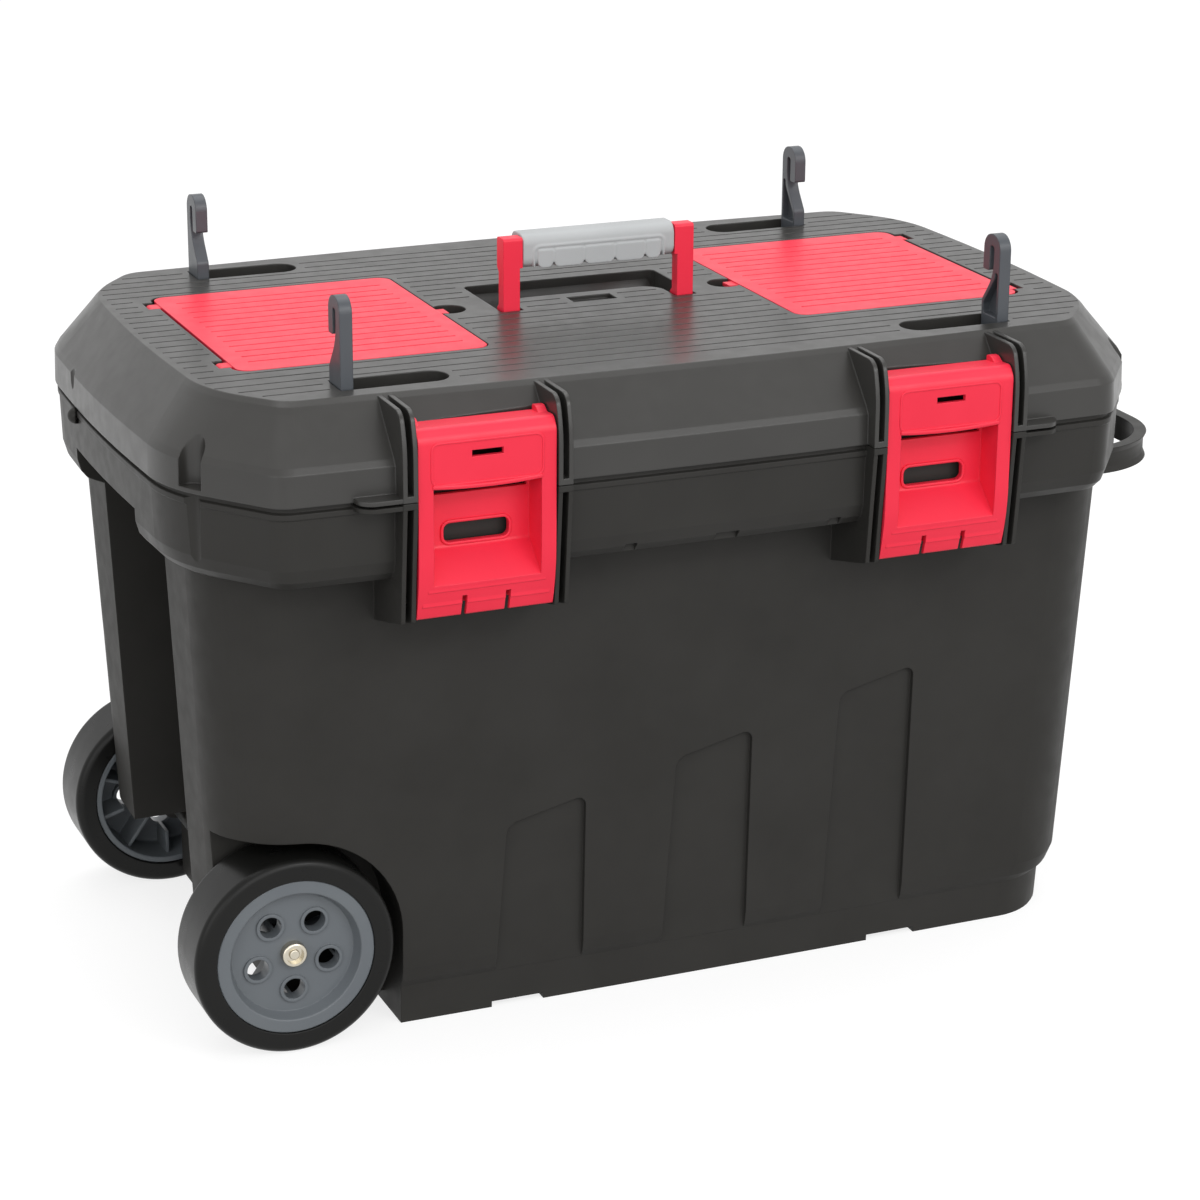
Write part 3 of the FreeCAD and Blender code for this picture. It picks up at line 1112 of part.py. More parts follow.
def make_tub():
    """Tub with its cavity, recess, wheel arches, fins, hinge knuckles and axle lugs."""
    cuts = [tub_cavity()] + end_recess(0) + wheel_space(0) + relief_bands(0)
    cuts += bay_boxes(BAY_DEPTH, RIM_FOOT - OVERCUT, PART_LINE + OVERCUT, 0)
    cuts += corner_grooves(RIM_FOOT - OVERCUT, PART_LINE + OVERCUT, RIM_GROOVE_DEPTH, 0)
    for start, length in FOOT_NOTCHES:
        cuts.append(box(start, start + length, -LID_DEPTH, LID_DEPTH, -OVERCUT, FOOT_HEIGHT))
    inner = WELL_INNER + OVERCUT
    cuts.append(box(-FAR, WHEEL_PLACE + ARCH_RADIUS, -inner, inner, -OVERCUT, FOOT_HEIGHT + TUB_WALL))
    notch_back = LID_DEPTH / 2 - RIM_SETBACK - RIM_NOTCH_DEPTH
    for middle, length in RIM_NOTCHES:
        cuts.append(box(middle - length / 2, middle + length / 2, -notch_back, -FAR,
                        RIM_FOOT - OVERCUT, RIM_FOOT + RIM_NOTCH_HEIGHT))
    shell = tub_outer().cut(cuts)
    wall = WALL_DEPTH / 2 - WALL_BOW - TUB_WALL / 2
    profile = [(-FIN_FRONT, TUB_TOP, 0), (-wall, TUB_TOP, 0), (-wall, FIN_ROOT, 0),
               (-FIN_FRONT + FIN_TAPER, FIN_FOOT, FIN_EDGE)]
    rear_limit = box(-FAR, FAR, -BAY_DEPTH + TUB_WALL, FAR, RIM_FOOT + TUB_WALL, PART_LINE + OVERCUT)
    pieces = [shell] + [fin.cut(rear_limit) for fin in fin_pairs(profile)]
    pieces += fin_bars(-FIN_FRONT, -BAY_DEPTH, TUB_TOP, TUB_TOP - FIN_GAP) + knuckles(False)
    ledge = TUB_TOP - NOSE_GAP
    pieces += flank_ledges(RIM_SETBACK + NECK_SINK + TUB_WALL / 2, ledge - NOSE_HEIGHT, ledge)
    radius = AXLE_LUG_DIAMETER / 2
    for row in SIDES:
        y0 = row * (WELL_INNER - PART_GAP)
        y1 = y0 - row * AXLE_LUG_WIDTH
        lug = V(WHEEL_PLACE, y0, AXLE_HEIGHT)
        pieces.append(rod(AXLE_LUG_DIAMETER, lug, V(WHEEL_PLACE, y1, AXLE_HEIGHT)))
        pieces.append(box(WHEEL_PLACE, -RECESS_BACK + TUB_WALL / 2, y0, y1,
                          AXLE_HEIGHT - radius, AXLE_HEIGHT + radius))
        pieces.append(box(WHEEL_PLACE - radius, WHEEL_PLACE + radius, y0, y1,
                          AXLE_HEIGHT, POST_FOOT + TUB_WALL / 2))
    for side in SIDES:
        place = V(side * (lid_end_at(STUD_PLACE) - RIM_SETBACK), -side * STUD_PLACE, PART_LINE - STUD_DROP)
        pieces.append(Part.makeSphere(STUD_DIAMETER / 2, place))
    holes = hinge_rods(bore(HINGE_PIN_DIAMETER)) + latch_rods(bore(LATCH_PIN_DIAMETER))
    holes.append(axle_rod(bore(AXLE_DIAMETER)))
    return join(pieces).cut(holes)


def axle_rod(diameter):
    """Axle through both wheels."""
    end = WHEEL_FACE - HUB_SETBACK - HUB_SINK
    return rod(diameter, V(WHEEL_PLACE, -end, AXLE_HEIGHT), V(WHEEL_PLACE, end, AXLE_HEIGHT))


def turned(profile, row):
    """Ring turned about the axle from (radius, distance inward from the tyre's outer side, cut)."""
    outline = ring(profile, lambda p: V(WHEEL_PLACE, row * (WHEEL_FACE - p.y), AXLE_HEIGHT + p.x))
    return Part.Face(outline).revolve(V(WHEEL_PLACE, 0, AXLE_HEIGHT), Y_AXIS, 360)


def make_tyre(row):
    """Solid tyre with rounded shoulders."""
    inner = HUB_DIAMETER / 2 + HUB_SEAT_GAP
    outer = TYRE_DIAMETER / 2
    return turned([(inner, 0, HUB_EDGE), (outer, 0, TYRE_SHOULDER), (outer, TYRE_WIDTH, TYRE_SHOULDER),
                   (inner, TYRE_WIDTH, HUB_EDGE)], row)


def make_hub(row):
    """Hub: outer ring, sunk plate with five collared holes, sleeve on the axle and ribs behind the plate."""
    outer = HUB_DIAMETER / 2
    ring_inner = outer - HUB_RING
    sleeve = HUB_SLEEVE_DIAMETER / 2
    hole = bore(AXLE_DIAMETER) / 2
    front = HUB_SETBACK
    sunk = front + HUB_SINK
    back = TYRE_WIDTH - HUB_SETBACK
    wall = HUB_RING / 2
    plate_back = sunk + HUB_PLATE
    profile = [(hole, sunk, 0), (ring_inner - HUB_RING_SLOPE, sunk, 0), (ring_inner, front, HUB_EDGE),
               (outer, front, HUB_EDGE), (outer, back, HUB_EDGE), (outer - wall, back, HUB_EDGE),
               (outer - wall, plate_back, HUB_FILLET), (sleeve, plate_back, HUB_FILLET),
               (sleeve, back, HUB_EDGE), (hole, back, 0)]
    pieces = [turned(profile, row)]
    circle = HUB_HOLE_CIRCLE / 2
    holes = []
    plate_y = row * (WHEEL_FACE - plate_back)
    face_y = row * (WHEEL_FACE - sunk + HUB_COLLAR_RISE)
    for step in range(HUB_HOLE_COUNT):
        turn = 2 * math.pi * step / HUB_HOLE_COUNT - math.pi / 2
        x = WHEEL_PLACE + circle * math.cos(turn)
        z = AXLE_HEIGHT + circle * math.sin(turn)
        collar = HUB_HOLE_DIAMETER + 2 * HUB_COLLAR
        pieces.append(rod(collar, V(x, plate_y - row * HUB_PLATE, z), V(x, face_y, z)))
        holes.append(rod(HUB_HOLE_DIAMETER, V(x, plate_y - row * HUB_DIAMETER, z), V(x, face_y + row, z)))
    back_y = row * (WHEEL_FACE - back + HUB_SINK)
    for step in range(HUB_RIB_COUNT):
        rib = box(sleeve - OVERCUT, outer - wall + OVERCUT, plate_y, back_y, -HUB_RIB / 2, HUB_RIB / 2)
        rib.rotate(V(0, 0, 0), Y_AXIS, 360 * (step + 0.5) / HUB_RIB_COUNT)
        rib.translate(V(WHEEL_PLACE, 0, AXLE_HEIGHT))
        pieces.append(rib)
    return join(pieces).cut(holes)


def make_axle_caps():
    """Bright push-on caps at the axle's ends, each with a round socket and a stud in it."""
    caps = []
    end = WHEEL_FACE - HUB_SETBACK - HUB_SINK + HUB_SEAT_GAP
    face = end + CAP_RISE
    radius = CAP_DIAMETER / 2
    socket = CAP_SOCKET / 2
    floor = end + CAP_RISE / 2
    stud = CAP_STUD / 2
    profile = [(0, end, 0), (radius, end, 0), (radius, face, CAP_ROUND), (socket, face, 0), (socket, floor, 0),
               (stud, floor, 0), (stud, face - CAP_STUD_DROP, CAP_STUD_EDGE), (0, face - CAP_STUD_DROP, 0)]
    for row in SIDES:
        outline = ring(profile, lambda p: V(WHEEL_PLACE, row * p.y, AXLE_HEIGHT + p.x))
        caps.append(Part.Face(outline).revolve(V(WHEEL_PLACE, 0, AXLE_HEIGHT), Y_AXIS, 360))
    return Part.makeCompound(caps)


def make_pull_handle(outer_form):
    """D-shaped pull handle with a waisted band, seated on the tub's end."""
    foot = PULL_TOP - PULL_HEIGHT
    start = WALL_LENGTH / 2 - WALL_CORNER

    def outline(inset):
        half = PULL_SPAN / 2 - inset
        reach = PULL_REACH - inset
        corner = PULL_CORNER - inset
        return [(start, -half, 0), (reach, -half, corner), (reach, half, corner), (start, half, 0)]

    solid = stack([flat_ring(outline(0), foot), flat_ring(outline(PULL_WAIST), foot + PULL_LIP),
                   flat_ring(outline(PULL_WAIST), PULL_TOP - PULL_LIP), flat_ring(outline(0), PULL_TOP)])
    space = plate(outline(PULL_THICKNESS), foot - OVERCUT, PULL_TOP + OVERCUT)
    return solid.cut([space, outer_form])


def build():
    """All nodes by name."""
    nodes = {"tub": make_tub(), "lid": make_lid(), "pull_handle": make_pull_handle(tub_outer())}
    nodes["lid_hinge_pins"] = Part.makeCompound(hinge_rods(HINGE_PIN_DIAMETER))
    nodes["latch_pins"] = Part.makeCompound(latch_rods(LATCH_PIN_DIAMETER))
    nodes["organiser_hinge_pins"] = Part.makeCompound(organiser_rods(ORGANISER_PIN_DIAMETER))
    nodes["carry_handle_pins"] = Part.makeCompound(handle_rods(HANDLE_PIN_DIAMETER))
    nodes["hook_pins"] = Part.makeCompound(hook_rods(HOOK_PIN_DIAMETER))
    nodes["carry_handle"] = make_carry_handle()
    nodes["carry_grip"] = make_grip()
    nodes["axle_rod"] = axle_rod(AXLE_DIAMETER)
    nodes["axle_caps"] = make_axle_caps()
    for name, side in (("left", -1), ("right", 1)):
        nodes["latch_" + name] = make_latch(side)
        nodes["organiser_lid_" + name] = make_organiser_lid(side)
        nodes["organiser_tray_" + name] = make_tray(side)
        for row_name, row in (("front", -1), ("rear", 1)):
            nodes["hook_" + row_name + "_" + name] = make_hook(side, row)
    for row_name, row in (("front", -1), ("rear", 1)):
        nodes["hub_" + row_name] = make_hub(row)
        nodes["tyre_" + row_name] = make_tyre(row)
    return nodes


os.makedirs("parts", exist_ok=True)
for name, shape in build().items():
    if not shape.isValid():
        print(name, "is not a valid shape")
    shape.exportStep("parts/" + name + ".step")
    bounds = shape.BoundBox
    print("%-24s solids %d  volume %.1f cm3  x %.1f..%.1f  y %.1f..%.1f  z %.1f..%.1f" % (
        name, len(shape.Solids), shape.Volume / 1000, bounds.XMin, bounds.XMax, bounds.YMin, bounds.YMax,
        bounds.ZMin, bounds.ZMax))
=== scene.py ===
"""Looks of the rolling storage box: finishes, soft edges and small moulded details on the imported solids."""
import json
import math

import bpy
from mathutils import Matrix, Vector


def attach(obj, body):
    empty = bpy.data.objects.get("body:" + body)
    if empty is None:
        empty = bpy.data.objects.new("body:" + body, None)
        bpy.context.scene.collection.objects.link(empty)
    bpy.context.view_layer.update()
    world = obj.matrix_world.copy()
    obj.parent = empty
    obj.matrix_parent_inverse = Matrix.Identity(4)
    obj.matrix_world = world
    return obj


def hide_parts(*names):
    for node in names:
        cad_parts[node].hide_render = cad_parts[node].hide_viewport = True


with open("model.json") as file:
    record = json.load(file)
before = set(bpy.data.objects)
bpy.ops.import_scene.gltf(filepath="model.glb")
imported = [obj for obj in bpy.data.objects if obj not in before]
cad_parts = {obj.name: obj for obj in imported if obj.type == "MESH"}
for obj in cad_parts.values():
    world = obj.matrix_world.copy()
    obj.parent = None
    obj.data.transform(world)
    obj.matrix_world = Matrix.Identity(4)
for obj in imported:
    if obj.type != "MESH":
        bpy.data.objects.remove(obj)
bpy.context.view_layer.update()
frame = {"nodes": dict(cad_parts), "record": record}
nodes = frame["nodes"]
MM = 0.001                 # sizes and places are in millimetres up to the stage, which is in metres
QUARTER = math.pi / 2


def node_box(name):
    """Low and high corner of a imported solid, in millimetres to a hundredth."""
    sides = list(zip(*nodes[name].bound_box))
    return [[round(end(side) / MM, 2) for side in sides] for end in (min, max)]


# Shader nodes

def linear(hex_colour):
    """Linear colour from an sRGB hex string."""
    channels = [int(hex_colour[i:i + 2], 16) / 255 for i in (1, 3, 5)]
    return [c / 12.92 if c <= 0.04045 else ((c + 0.055) / 1.055) ** 2.4 for c in channels] + [1.0]


def new_material(name):
    """Material with an empty node tree."""
    material = bpy.data.materials.new(name)
    material.use_nodes = True
    material.node_tree.nodes.clear()
    return material


def add(material, kind, settings=None, **inputs):
    """Adds a node with its settings; each input is a value, or another node's output to link."""
    tree = material.node_tree
    node = tree.nodes.new(kind)
    for name, value in (settings or {}).items():
        setattr(node, name, value)
    for name, value in inputs.items():
        key = int(name[1:]) if name[0] == "_" else name.replace("_", " ")
        socket = node.inputs[key]
        if isinstance(value, bpy.types.NodeSocket):
            tree.links.new(value, socket)
        else:
            socket.default_value = value
    return node


def per_metre(size):
    """Texture scale that gives a pattern features of a real size."""
    return 1.0 / (size * MM)


def seen_directly(material):
    """1 for rays from camera, mirrors and glass, which see the pale studio at full white, and 0 for light."""
    path = add(material, "ShaderNodeLightPath")
    mirrored = add(material, "ShaderNodeMath", {"operation": "MAXIMUM"}, _0=path.outputs["Is Camera Ray"],
                   _1=path.outputs["Is Glossy Ray"])
    return add(material, "ShaderNodeMath", {"operation": "MAXIMUM"}, _0=mirrored.outputs["Value"],
               _1=path.outputs["Is Transmission Ray"]).outputs["Value"]


# Finishes
FLOW_SIZE = 70             # drift of the tone with the melt's flow
FLOW_STOPS = (0.35, 0.65)  # where the two tones lie in its noise
SHEEN_SIZE = 12            # patches of uneven sheen
SHEEN_SPREAD = 0.04        # roughness that they add and take away
BLAST_BLEND = 2.0          # half the height over which a blasted surface begins
SINK_SIZE = 45             # faint sink waves, as cooling plastic has
SINK_DEPTH = 0.25
MARK_STRENGTH = 0.4        # tool marks on metal
MARK_DEPTH = 0.04
WALL_TOP = 316.0           # where the tub's wall runs in under the rim


def moulded_plastic(name, tones, roughness, grain, grain_depth, specular, edge=0.8, rough_below=None):
    """Moulded plastic: a tone that drifts with the melt's flow, uneven sheen, fine grain and soft edges.
    rough_below is a height under which the mould was blasted coarser, and the roughness there."""
    material = new_material(name)
    place = add(material, "ShaderNodeTexCoord").outputs["Object"]
    flow = add(material, "ShaderNodeTexNoise", Vector=place, Scale=per_metre(FLOW_SIZE), Detail=3.0)
    tone = add(material, "ShaderNodeValToRGB", Fac=flow.outputs["Fac"])
    for stop, position, colour in zip(tone.color_ramp.elements, FLOW_STOPS, tones):
        stop.position = position
        stop.color = linear(colour)
    sheen = add(material, "ShaderNodeTexNoise", Vector=place, Scale=per_metre(SHEEN_SIZE), Detail=4.0)
    spread = add(material, "ShaderNodeMapRange", Value=sheen.outputs["Fac"], From_Min=0.3, From_Max=0.7,
                 To_Min=roughness - SHEEN_SPREAD, To_Max=roughness + SHEEN_SPREAD)
    rough = spread.outputs["Result"]
    if rough_below:
        height, wall_roughness = rough_below
        level = add(material, "ShaderNodeSeparateXYZ", Vector=place)
        coarse = add(material, "ShaderNodeMapRange", Value=level.outputs["Z"],
                     From_Min=(height + BLAST_BLEND) * MM, From_Max=(height - BLAST_BLEND) * MM,
                     To_Min=0.0, To_Max=wall_roughness - roughness)
        rough = add(material, "ShaderNodeMath", {"operation": "ADD"}, _0=rough,
                    _1=coarse.outputs["Result"]).outputs["Value"]
    soft = add(material, "ShaderNodeBevel", {"samples": 6}, Radius=edge * MM)
    sink = add(material, "ShaderNodeTexNoise", Vector=place, Scale=per_metre(SINK_SIZE), Detail=1.0)
    waves = add(material, "ShaderNodeBump", Height=sink.outputs["Fac"], Strength=1.0,
                Distance=SINK_DEPTH * MM, Normal=soft.outputs["Normal"])
    fine = add(material, "ShaderNodeTexNoise", Vector=place, Scale=per_metre(grain), Detail=2.0)
    bump = add(material, "ShaderNodeBump", Height=fine.outputs["Fac"], Strength=1.0,
               Distance=grain_depth * MM, Normal=waves.outputs["Normal"])
    shader = add(material, "ShaderNodeBsdfPrincipled", Base_Color=tone.outputs["Color"], Roughness=rough,
                 Specular_IOR_Level=specular, Normal=bump.outputs["Normal"])
    add(material, "ShaderNodeOutputMaterial", Surface=shader.outputs["BSDF"])
    return material


def worked_metal(name, colour, roughness, grain):
    """Turned or drawn metal with fine tool marks."""
    material = new_material(name)
    place = add(material, "ShaderNodeTexCoord").outputs["Object"]
    marks = add(material, "ShaderNodeTexNoise", Vector=place, Scale=per_metre(grain), Detail=2.0)
    bump = add(material, "ShaderNodeBump", Height=marks.outputs["Fac"], Strength=MARK_STRENGTH,
               Distance=MARK_DEPTH * MM)
    shader = add(material, "ShaderNodeBsdfPrincipled", Base_Color=linear(colour), Metallic=1.0,
                 Roughness=roughness, Normal=bump.outputs["Normal"])
    add(material, "ShaderNodeOutputMaterial", Surface=shader.outputs["BSDF"])
    return material


# Charcoal polypropylene of the tub, injection moulded: satin on the rim, blasted and duller on the walls
tub_charcoal = moulded_plastic("charcoal_polypropylene", ("#2b2a28", "#2f2e2c"), roughness=0.42, grain=1.1,
                               grain_depth=0.035, specular=0.18, edge=1.0, rough_below=(WALL_TOP, 0.56))
# The same polypropylene in the lid's polished mould, with a broad satin sheen; its tone a shade lighter than
# the tub's is painted light, for the stronger light on the lid's top and slopes
lid_charcoal = moulded_plastic("satin_charcoal_polypropylene", ("#2e2d2b", "#32312f"), roughness=0.32,
                               grain=1.1, grain_depth=0.03, specular=0.47, edge=1.2)
# Red polypropylene, injection moulded and satin, of the latches, organiser lids and handle arms
red = moulded_plastic("red_polypropylene", ("#e62640", "#eb2b44"), roughness=0.4, grain=1.0,
                      grain_depth=0.02, specular=0.36)
# Grey thermoplastic rubber moulded over the handle's bar: soft and nearly matt
soft_grip = moulded_plastic("grey_soft_grip", ("#a9abac", "#afb1b2"), roughness=0.58, grain=0.9,
                            grain_depth=0.03, specular=0.3)
# Slate nylon of the hooks, injection moulded, with the sheen of its glass filling
slate = moulded_plastic("slate_nylon", ("#44474c", "#494d52"), roughness=0.38, grain=0.9,
                        grain_depth=0.02, specular=0.45, edge=1.2)
# Grey polypropylene of the wheel hubs, injection moulded and satin
hub_grey = moulded_plastic("grey_hub_polypropylene", ("#60656a", "#666b6f"), roughness=0.33, grain=0.9,
                           grain_depth=0.03, specular=0.42, edge=1.0)
# Black tyre compound, moulded smooth, with the soft shine of new rubber
tyre_black = moulded_plastic("black_tyre_compound", ("#121211", "#161615"), roughness=0.3, grain=0.9,
                             grain_depth=0.006, specular=0.2)
# Drawn steel of pins and axle
steel = worked_metal("drawn_steel", "#b9b9b6", roughness=0.3, grain=0.6)
# Nickel-plated axle caps, turned bright
nickel = worked_metal("nickel_plate", "#cbc4b4", roughness=0.22, grain=0.5)

FINISHES = {"black_plastic": tub_charcoal, "red_plastic": red, "grey_grip": soft_grip, "hook_plastic": slate,
            "hub_plastic": hub_grey, "tyre": tyre_black, "steel": steel, "bright_metal": nickel}
node_slots = {entry["node"]: entry["material_slot"] for entry in frame["record"]["subparts"]}
for name, node in nodes.items():
    node.data.materials.clear()
    # the lid takes its own copy of the charcoal, painted a shade lighter for the light it catches
    node.data.materials.append(lid_charcoal if name == "lid" else FINISHES[node_slots[name]])


# Shaping of new pieces
WELD = 0.01                # points closer than this become one
ROUND_ANGLE = math.radians(40)
SMOOTH_ANGLE = math.radians(35)


def apply_modifier(piece, kind, **settings):
    """Adds a modifier with its settings to the active piece and applies it."""
    modifier = piece.modifiers.new(kind.lower(), kind)
    for name, value in settings.items():
        setattr(modifier, name, value)
    bpy.ops.object.modifier_apply(modifier=modifier.name)


def flat_oblong(name, place, tilt, width, height):
    """Flat oblong with its middle at the place, left in edit mode and selected."""
    bpy.ops.object.select_all(action="DESELECT")
    bpy.ops.mesh.primitive_plane_add(size=1.0, location=place, rotation=tilt)
    piece = bpy.context.object
    piece.name = name
    piece.scale = (width * MM, height * MM, 1)
    bpy.ops.object.transform_apply(location=True, rotation=True, scale=True)
    bpy.ops.object.mode_set(mode="EDIT")
    bpy.ops.mesh.select_all(action="SELECT")
    return piece


def face_outwards():
    """Turns all faces of the piece in edit mode outwards."""
    bpy.ops.mesh.select_all(action="SELECT")
    bpy.ops.mesh.normals_make_consistent(inside=False)


def spin_section(centre, axis, angle, steps):
    """Spins the selected section about a centre and closes both ends."""
    bpy.ops.mesh.spin(steps=steps, angle=angle, center=centre, axis=axis)
    bpy.ops.mesh.select_all(action="SELECT")
    bpy.ops.mesh.remove_doubles(threshold=WELD * MM)
    bpy.ops.mesh.fill_holes(sides=8)
    face_outwards()


def oblong_ring(name, place, width, height, corner, border, depth):
    """Upright ring round an oblong, its back at the place and its front towards -Y, left in edit mode."""
    piece = flat_oblong(name, place, (QUARTER, 0, 0), width, height)
    bpy.ops.mesh.bevel(offset=corner * MM, segments=7, affect="VERTICES")
    bpy.ops.mesh.inset(thickness=border * MM)
    bpy.ops.mesh.delete(type="FACE")
    bpy.ops.mesh.select_all(action="SELECT")
    bpy.ops.mesh.extrude_region_move(TRANSFORM_OT_translate={"value": (0, -depth * MM, 0)})
    face_outwards()
    return piece


def bowed_lip(name, middle, half, sag, rise, depth):
    """Lip along an edge, bowed down in its middle: a section spun about a far centre, left in edit mode."""
    radius = (half ** 2 + sag ** 2) / (2 * sag)
    reach = math.asin(half / radius)
    centre = middle + Vector((0, 0, radius * MM))
    start = centre - Vector((math.sin(reach), 0, math.cos(reach))) * radius * MM
    piece = flat_oblong(name, start, (0, QUARTER + reach, 0), rise, depth)
    spin_section(centre, (0, 1, 0), 2 * reach, steps=24)
    return piece


def finish_piece(piece, material, edge, body):
    """Rounds a new piece's edges, places it in its mesh, and gives it its finish and its moving body."""
    bpy.ops.object.mode_set(mode="OBJECT")
    bpy.ops.object.transform_apply(location=True, rotation=True, scale=True)
    if edge:
        apply_modifier(piece, "BEVEL", width=edge * MM, segments=3, limit_method="ANGLE",
                       angle_limit=ROUND_ANGLE)
    bpy.ops.object.shade_smooth_by_angle(angle=SMOOTH_ANGLE)
    piece.data.materials.append(material)
    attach(piece, body)


# Moulded details of each latch: the frame of its upper panel, the pocket's bowed lip and the rim of its eye
LIP_RISE = 82.5            # pocket's upper edge over the latch's foot
LIP_SINK = 0.6             # middle of the lip's section behind the latch's face
LIP = {"half": 35.2, "sag": 1.6, "rise": 2.8, "depth": 3.6}
PANEL_RISE = 15.0          # middle of the panel over the pocket's edge
PANEL = {"width": 72.5, "height": 27.5, "corner": 5.5, "border": 1.6, "depth": 0.95}
EYE_RISE = 48.0            # middle of the eye over the latch's foot
EYE_RIM = {"width": 46.0, "height": 16.0, "corner": 6.0, "border": 2.0, "depth": 1.7}
POCKET_DEPTH = 21.0        # pocket's back wall, with the eye, behind the latch's face
RING_SINK = 0.4            # back of a ring inside the wall that it stands on
for body in ("latch_left", "latch_right"):
    side = body.replace("latch", "")
    (left, face, foot), (right, _, _) = node_box(body)
    middle = (left + right) / 2
    lip_height = foot + LIP_RISE
    panel = oblong_ring("latch_panel_frame" + side,
                        Vector((middle, face + RING_SINK, lip_height + PANEL_RISE)) * MM, **PANEL)
    finish_piece(panel, red, edge=0.5, body=body)
    lip = bowed_lip("latch_lip" + side, Vector((middle, face + LIP_SINK, lip_height)) * MM, **LIP)
    finish_piece(lip, red, edge=0.9, body=body)
    eye_rim = oblong_ring("latch_eye_rim" + side,
                          Vector((middle, face + POCKET_DEPTH + RING_SINK, foot + EYE_RISE)) * MM, **EYE_RIM)
    finish_piece(eye_rim, red, edge=0.7, body=body)

# Cove at the back of the handle well: a strip spun a quarter turn from the well's floor up to its back wall
WELL_DEPTH = 26.0          # below the lid's top
WELL_SIDE_GAP = 2.0        # beside the handle's arms
WELL_BACK_GAP = 9.5        # behind the folded grip
COVE_RADIUS = 24.0
COVE_WALL = 1.2
COVE_SINK = 0.3            # edges of the strip inside floor and wall
grip_low, grip_high = node_box("carry_grip")
handle_high = node_box("carry_handle")[1]
pin_low, pin_high = node_box("carry_handle_pins")
pivot_y = (pin_low[1] + pin_high[1]) / 2
pivot_z = (pin_low[2] + pin_high[2]) / 2
well_half = handle_high[0] + WELL_SIDE_GAP
well_back = pivot_y + grip_high[2] - pivot_z + WELL_BACK_GAP
well_foot = node_box("lid")[1][2] - WELL_DEPTH
cove_foot = Vector((0, well_back - COVE_RADIUS + COVE_SINK, well_foot - COVE_SINK)) * MM
cove = flat_oblong("handle_well_cove", cove_foot - Vector((0, 0, COVE_WALL / 2)) * MM, (QUARTER, 0, 0),
                   2 * well_half, COVE_WALL)
spin_section(cove_foot + Vector((0, 0, COVE_RADIUS)) * MM, (1, 0, 0), -QUARTER, steps=20)
finish_piece(cove, lid_charcoal, edge=0, body="lid")

# Grip: the sleeve with its finger lobes and a raised frame round them, all edges flowing as soft rubber does
LOBE_FRAME = {"width": 93.4, "height": 17.6, "corner": 4.5, "border": 1.5, "depth": 9.8}
FRAME_BACK = 10.1          # back of the frame behind the lobes' front
FRAME_DROP = 16.2          # middle of the frame below the grip's top
FRAME_FOOT = 1.0           # where the frame is cut off, over the lobes' foot
JOIN = 0.005               # points of the sleeve closer than this become one
SKIN = 0.55                # voxels of the common skin
lobe_frame = oblong_ring("lobe_frame", Vector((0, grip_low[1] + FRAME_BACK, grip_high[2] - FRAME_DROP)) * MM,
                         **LOBE_FRAME)
bpy.ops.mesh.bisect(plane_co=(0, 0, (grip_low[2] + FRAME_FOOT) * MM), plane_no=(0, 0, 1), use_fill=True,
                    clear_inner=True)
bpy.ops.object.mode_set(mode="OBJECT")
grip = bpy.data.objects.new("soft_grip", nodes["carry_grip"].data.copy())
bpy.context.scene.collection.objects.link(grip)
bpy.ops.object.select_all(action="DESELECT")
grip.select_set(True)
bpy.context.view_layer.objects.active = grip
bpy.ops.object.mode_set(mode="EDIT")
bpy.ops.mesh.select_all(action="SELECT")
bpy.ops.mesh.customdata_custom_splitnormals_clear()
bpy.ops.mesh.remove_doubles(threshold=JOIN * MM)
bpy.ops.object.mode_set(mode="OBJECT")
lobe_frame.select_set(True)
bpy.ops.object.join()
apply_modifier(grip, "REMESH", mode="VOXEL", voxel_size=SKIN * MM)
apply_modifier(grip, "SMOOTH", factor=0.5, iterations=7)
bpy.ops.object.shade_smooth()
grip.data.materials.clear()
grip.data.materials.append(soft_grip)
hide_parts("carry_grip")
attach(grip, "carry_handle")

# Camera at the photograph's angle
PICTURE_PIXELS = 1200      # width of the photograph
LENS_PIXELS = 3368.48      # focal length on the same scale
CAMERA_PLACE = (-0.84346, -2.0028, 0.97066)
AZIMUTH, ELEVATION, ROLL = -23.08, 19.18, 0.43
camera_data = bpy.data.cameras.new("camera")
camera_data.sensor_width = 36.0
camera_data.lens = camera_data.sensor_width * LENS_PIXELS / PICTURE_PIXELS
camera_data.clip_end = 50.0
camera_data.dof.use_dof = False
camera = bpy.data.objects.new("camera", camera_data)
bpy.context.scene.collection.objects.link(camera)
turn = (Matrix.Rotation(math.radians(AZIMUTH), 4, "Z") @ Matrix.Rotation(math.radians(90 - ELEVATION), 4, "X")
        @ Matrix.Rotation(math.radians(ROLL), 4, "Z"))
camera.matrix_world = Matrix.Translation(Vector(CAMERA_PLACE)) @ turn
bpy.context.scene.camera = camera

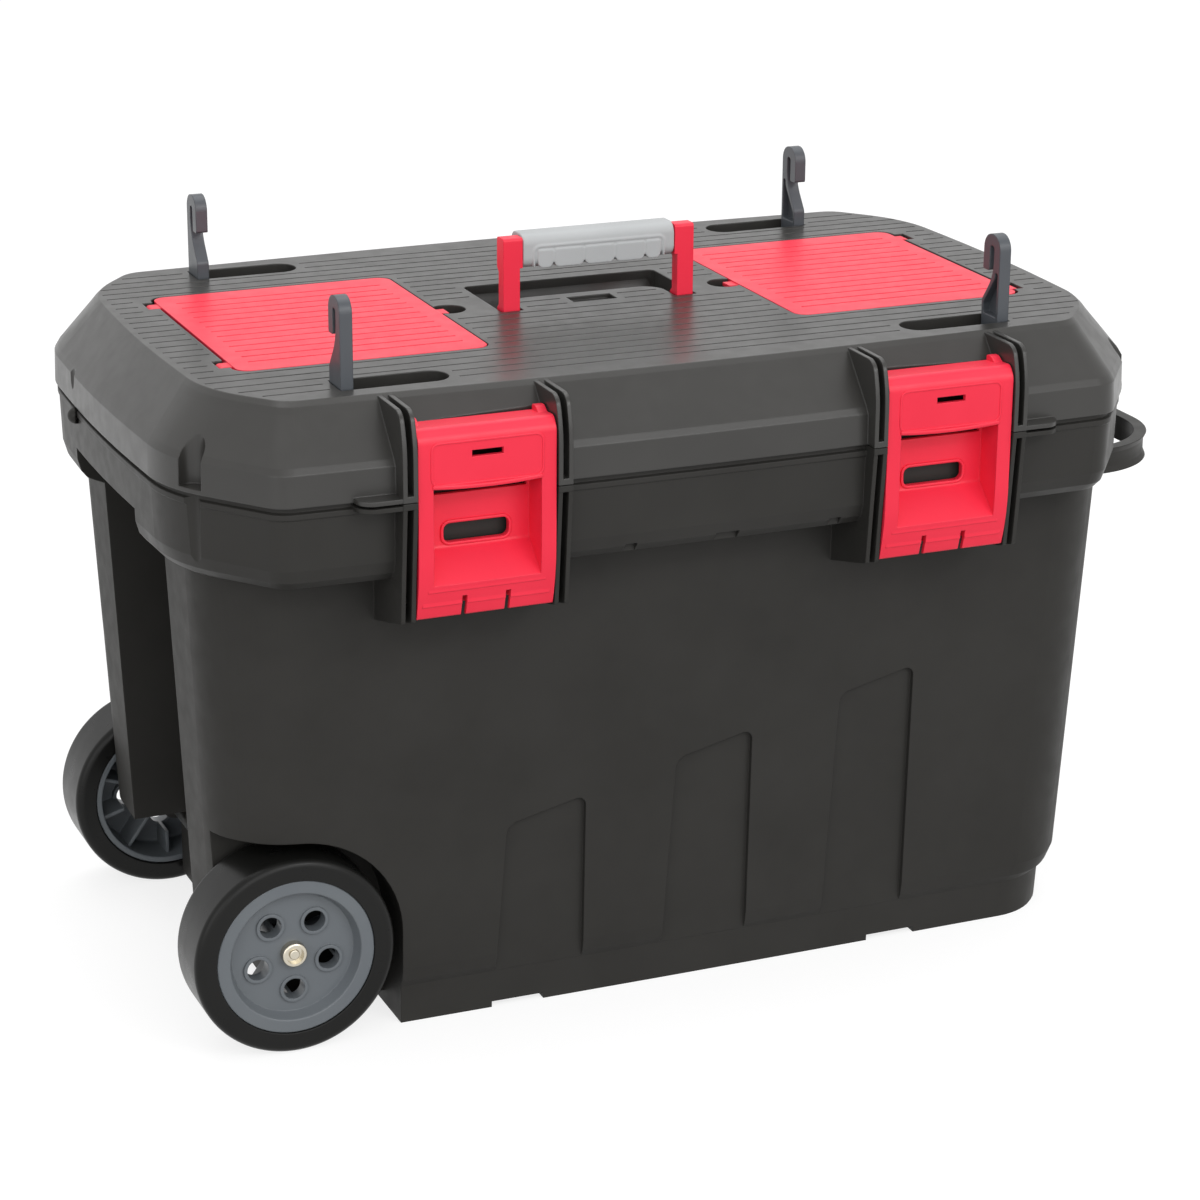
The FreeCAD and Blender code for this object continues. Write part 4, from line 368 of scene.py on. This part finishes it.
# Pale paper floor, which keeps the shadow
FLOOR_SIZE = 24.0
FLOOR_LIFT = 0.78          # glow that brings the lit paper to white where it is seen
bpy.ops.object.select_all(action="DESELECT")
bpy.ops.mesh.primitive_plane_add(size=FLOOR_SIZE, location=(0, 0, 0))
floor = bpy.context.object
floor.name = "floor"
paper = new_material("pale_paper_floor")
matt = add(paper, "ShaderNodeBsdfPrincipled", Base_Color=linear("#909090"), Roughness=0.9,
           Specular_IOR_Level=0.0)
lift = add(paper, "ShaderNodeMath", {"operation": "MULTIPLY"}, _0=seen_directly(paper), _1=FLOOR_LIFT)
glow = add(paper, "ShaderNodeEmission", Strength=lift.outputs["Value"])
whole = add(paper, "ShaderNodeAddShader", _0=matt.outputs["BSDF"], _1=glow.outputs["Emission"])
add(paper, "ShaderNodeOutputMaterial", Surface=whole.outputs["Shader"])
floor.data.materials.append(paper)

# White studio round it, a little dimmer as light than as it is seen
STUDIO_LIGHT, STUDIO_SEEN = 0.82, 1.0
world = bpy.data.worlds.new("studio")
world.use_nodes = True
world.node_tree.nodes.clear()
level = add(world, "ShaderNodeMapRange", Value=seen_directly(world), To_Min=STUDIO_LIGHT, To_Max=STUDIO_SEEN)
sky = add(world, "ShaderNodeBackground", Color=(1, 1, 1, 1), Strength=level.outputs["Result"])
add(world, "ShaderNodeOutputWorld", Surface=sky.outputs["Background"])
bpy.context.scene.world = world


def area_light(name, place, target, size, power):
    """Soft light panel aimed at a point."""
    data = bpy.data.lights.new(name, "AREA")
    data.shape = "RECTANGLE"
    data.size, data.size_y = size
    data.energy = power
    light = bpy.data.objects.new(name, data)
    light.location = place
    light.rotation_euler = (Vector(target) - Vector(place)).to_track_quat("-Z", "Y").to_euler()
    bpy.context.scene.collection.objects.link(light)


# Soft panels above, to the left and in front, and a narrow one that glints on the lid's front edges
area_light("key_above", place=(0.1, 0.6, 2.6), target=(0, 0, 0.3), size=(2.4, 2.0), power=24)
area_light("side_left", place=(-2.4, -1.6, 0.9), target=(0, 0, 0.25), size=(1.8, 1.6), power=11)
area_light("edge_glint", place=(1.0, -2.5, 2.0), target=(0, -0.2, 0.4), size=(1.4, 0.3), power=10)
area_light("front_fill", place=(0.2, -3.0, 1.7), target=(0, 0, 0.25), size=(4.2, 2.6), power=52)

bpy.context.scene.view_settings.view_transform = "Standard"
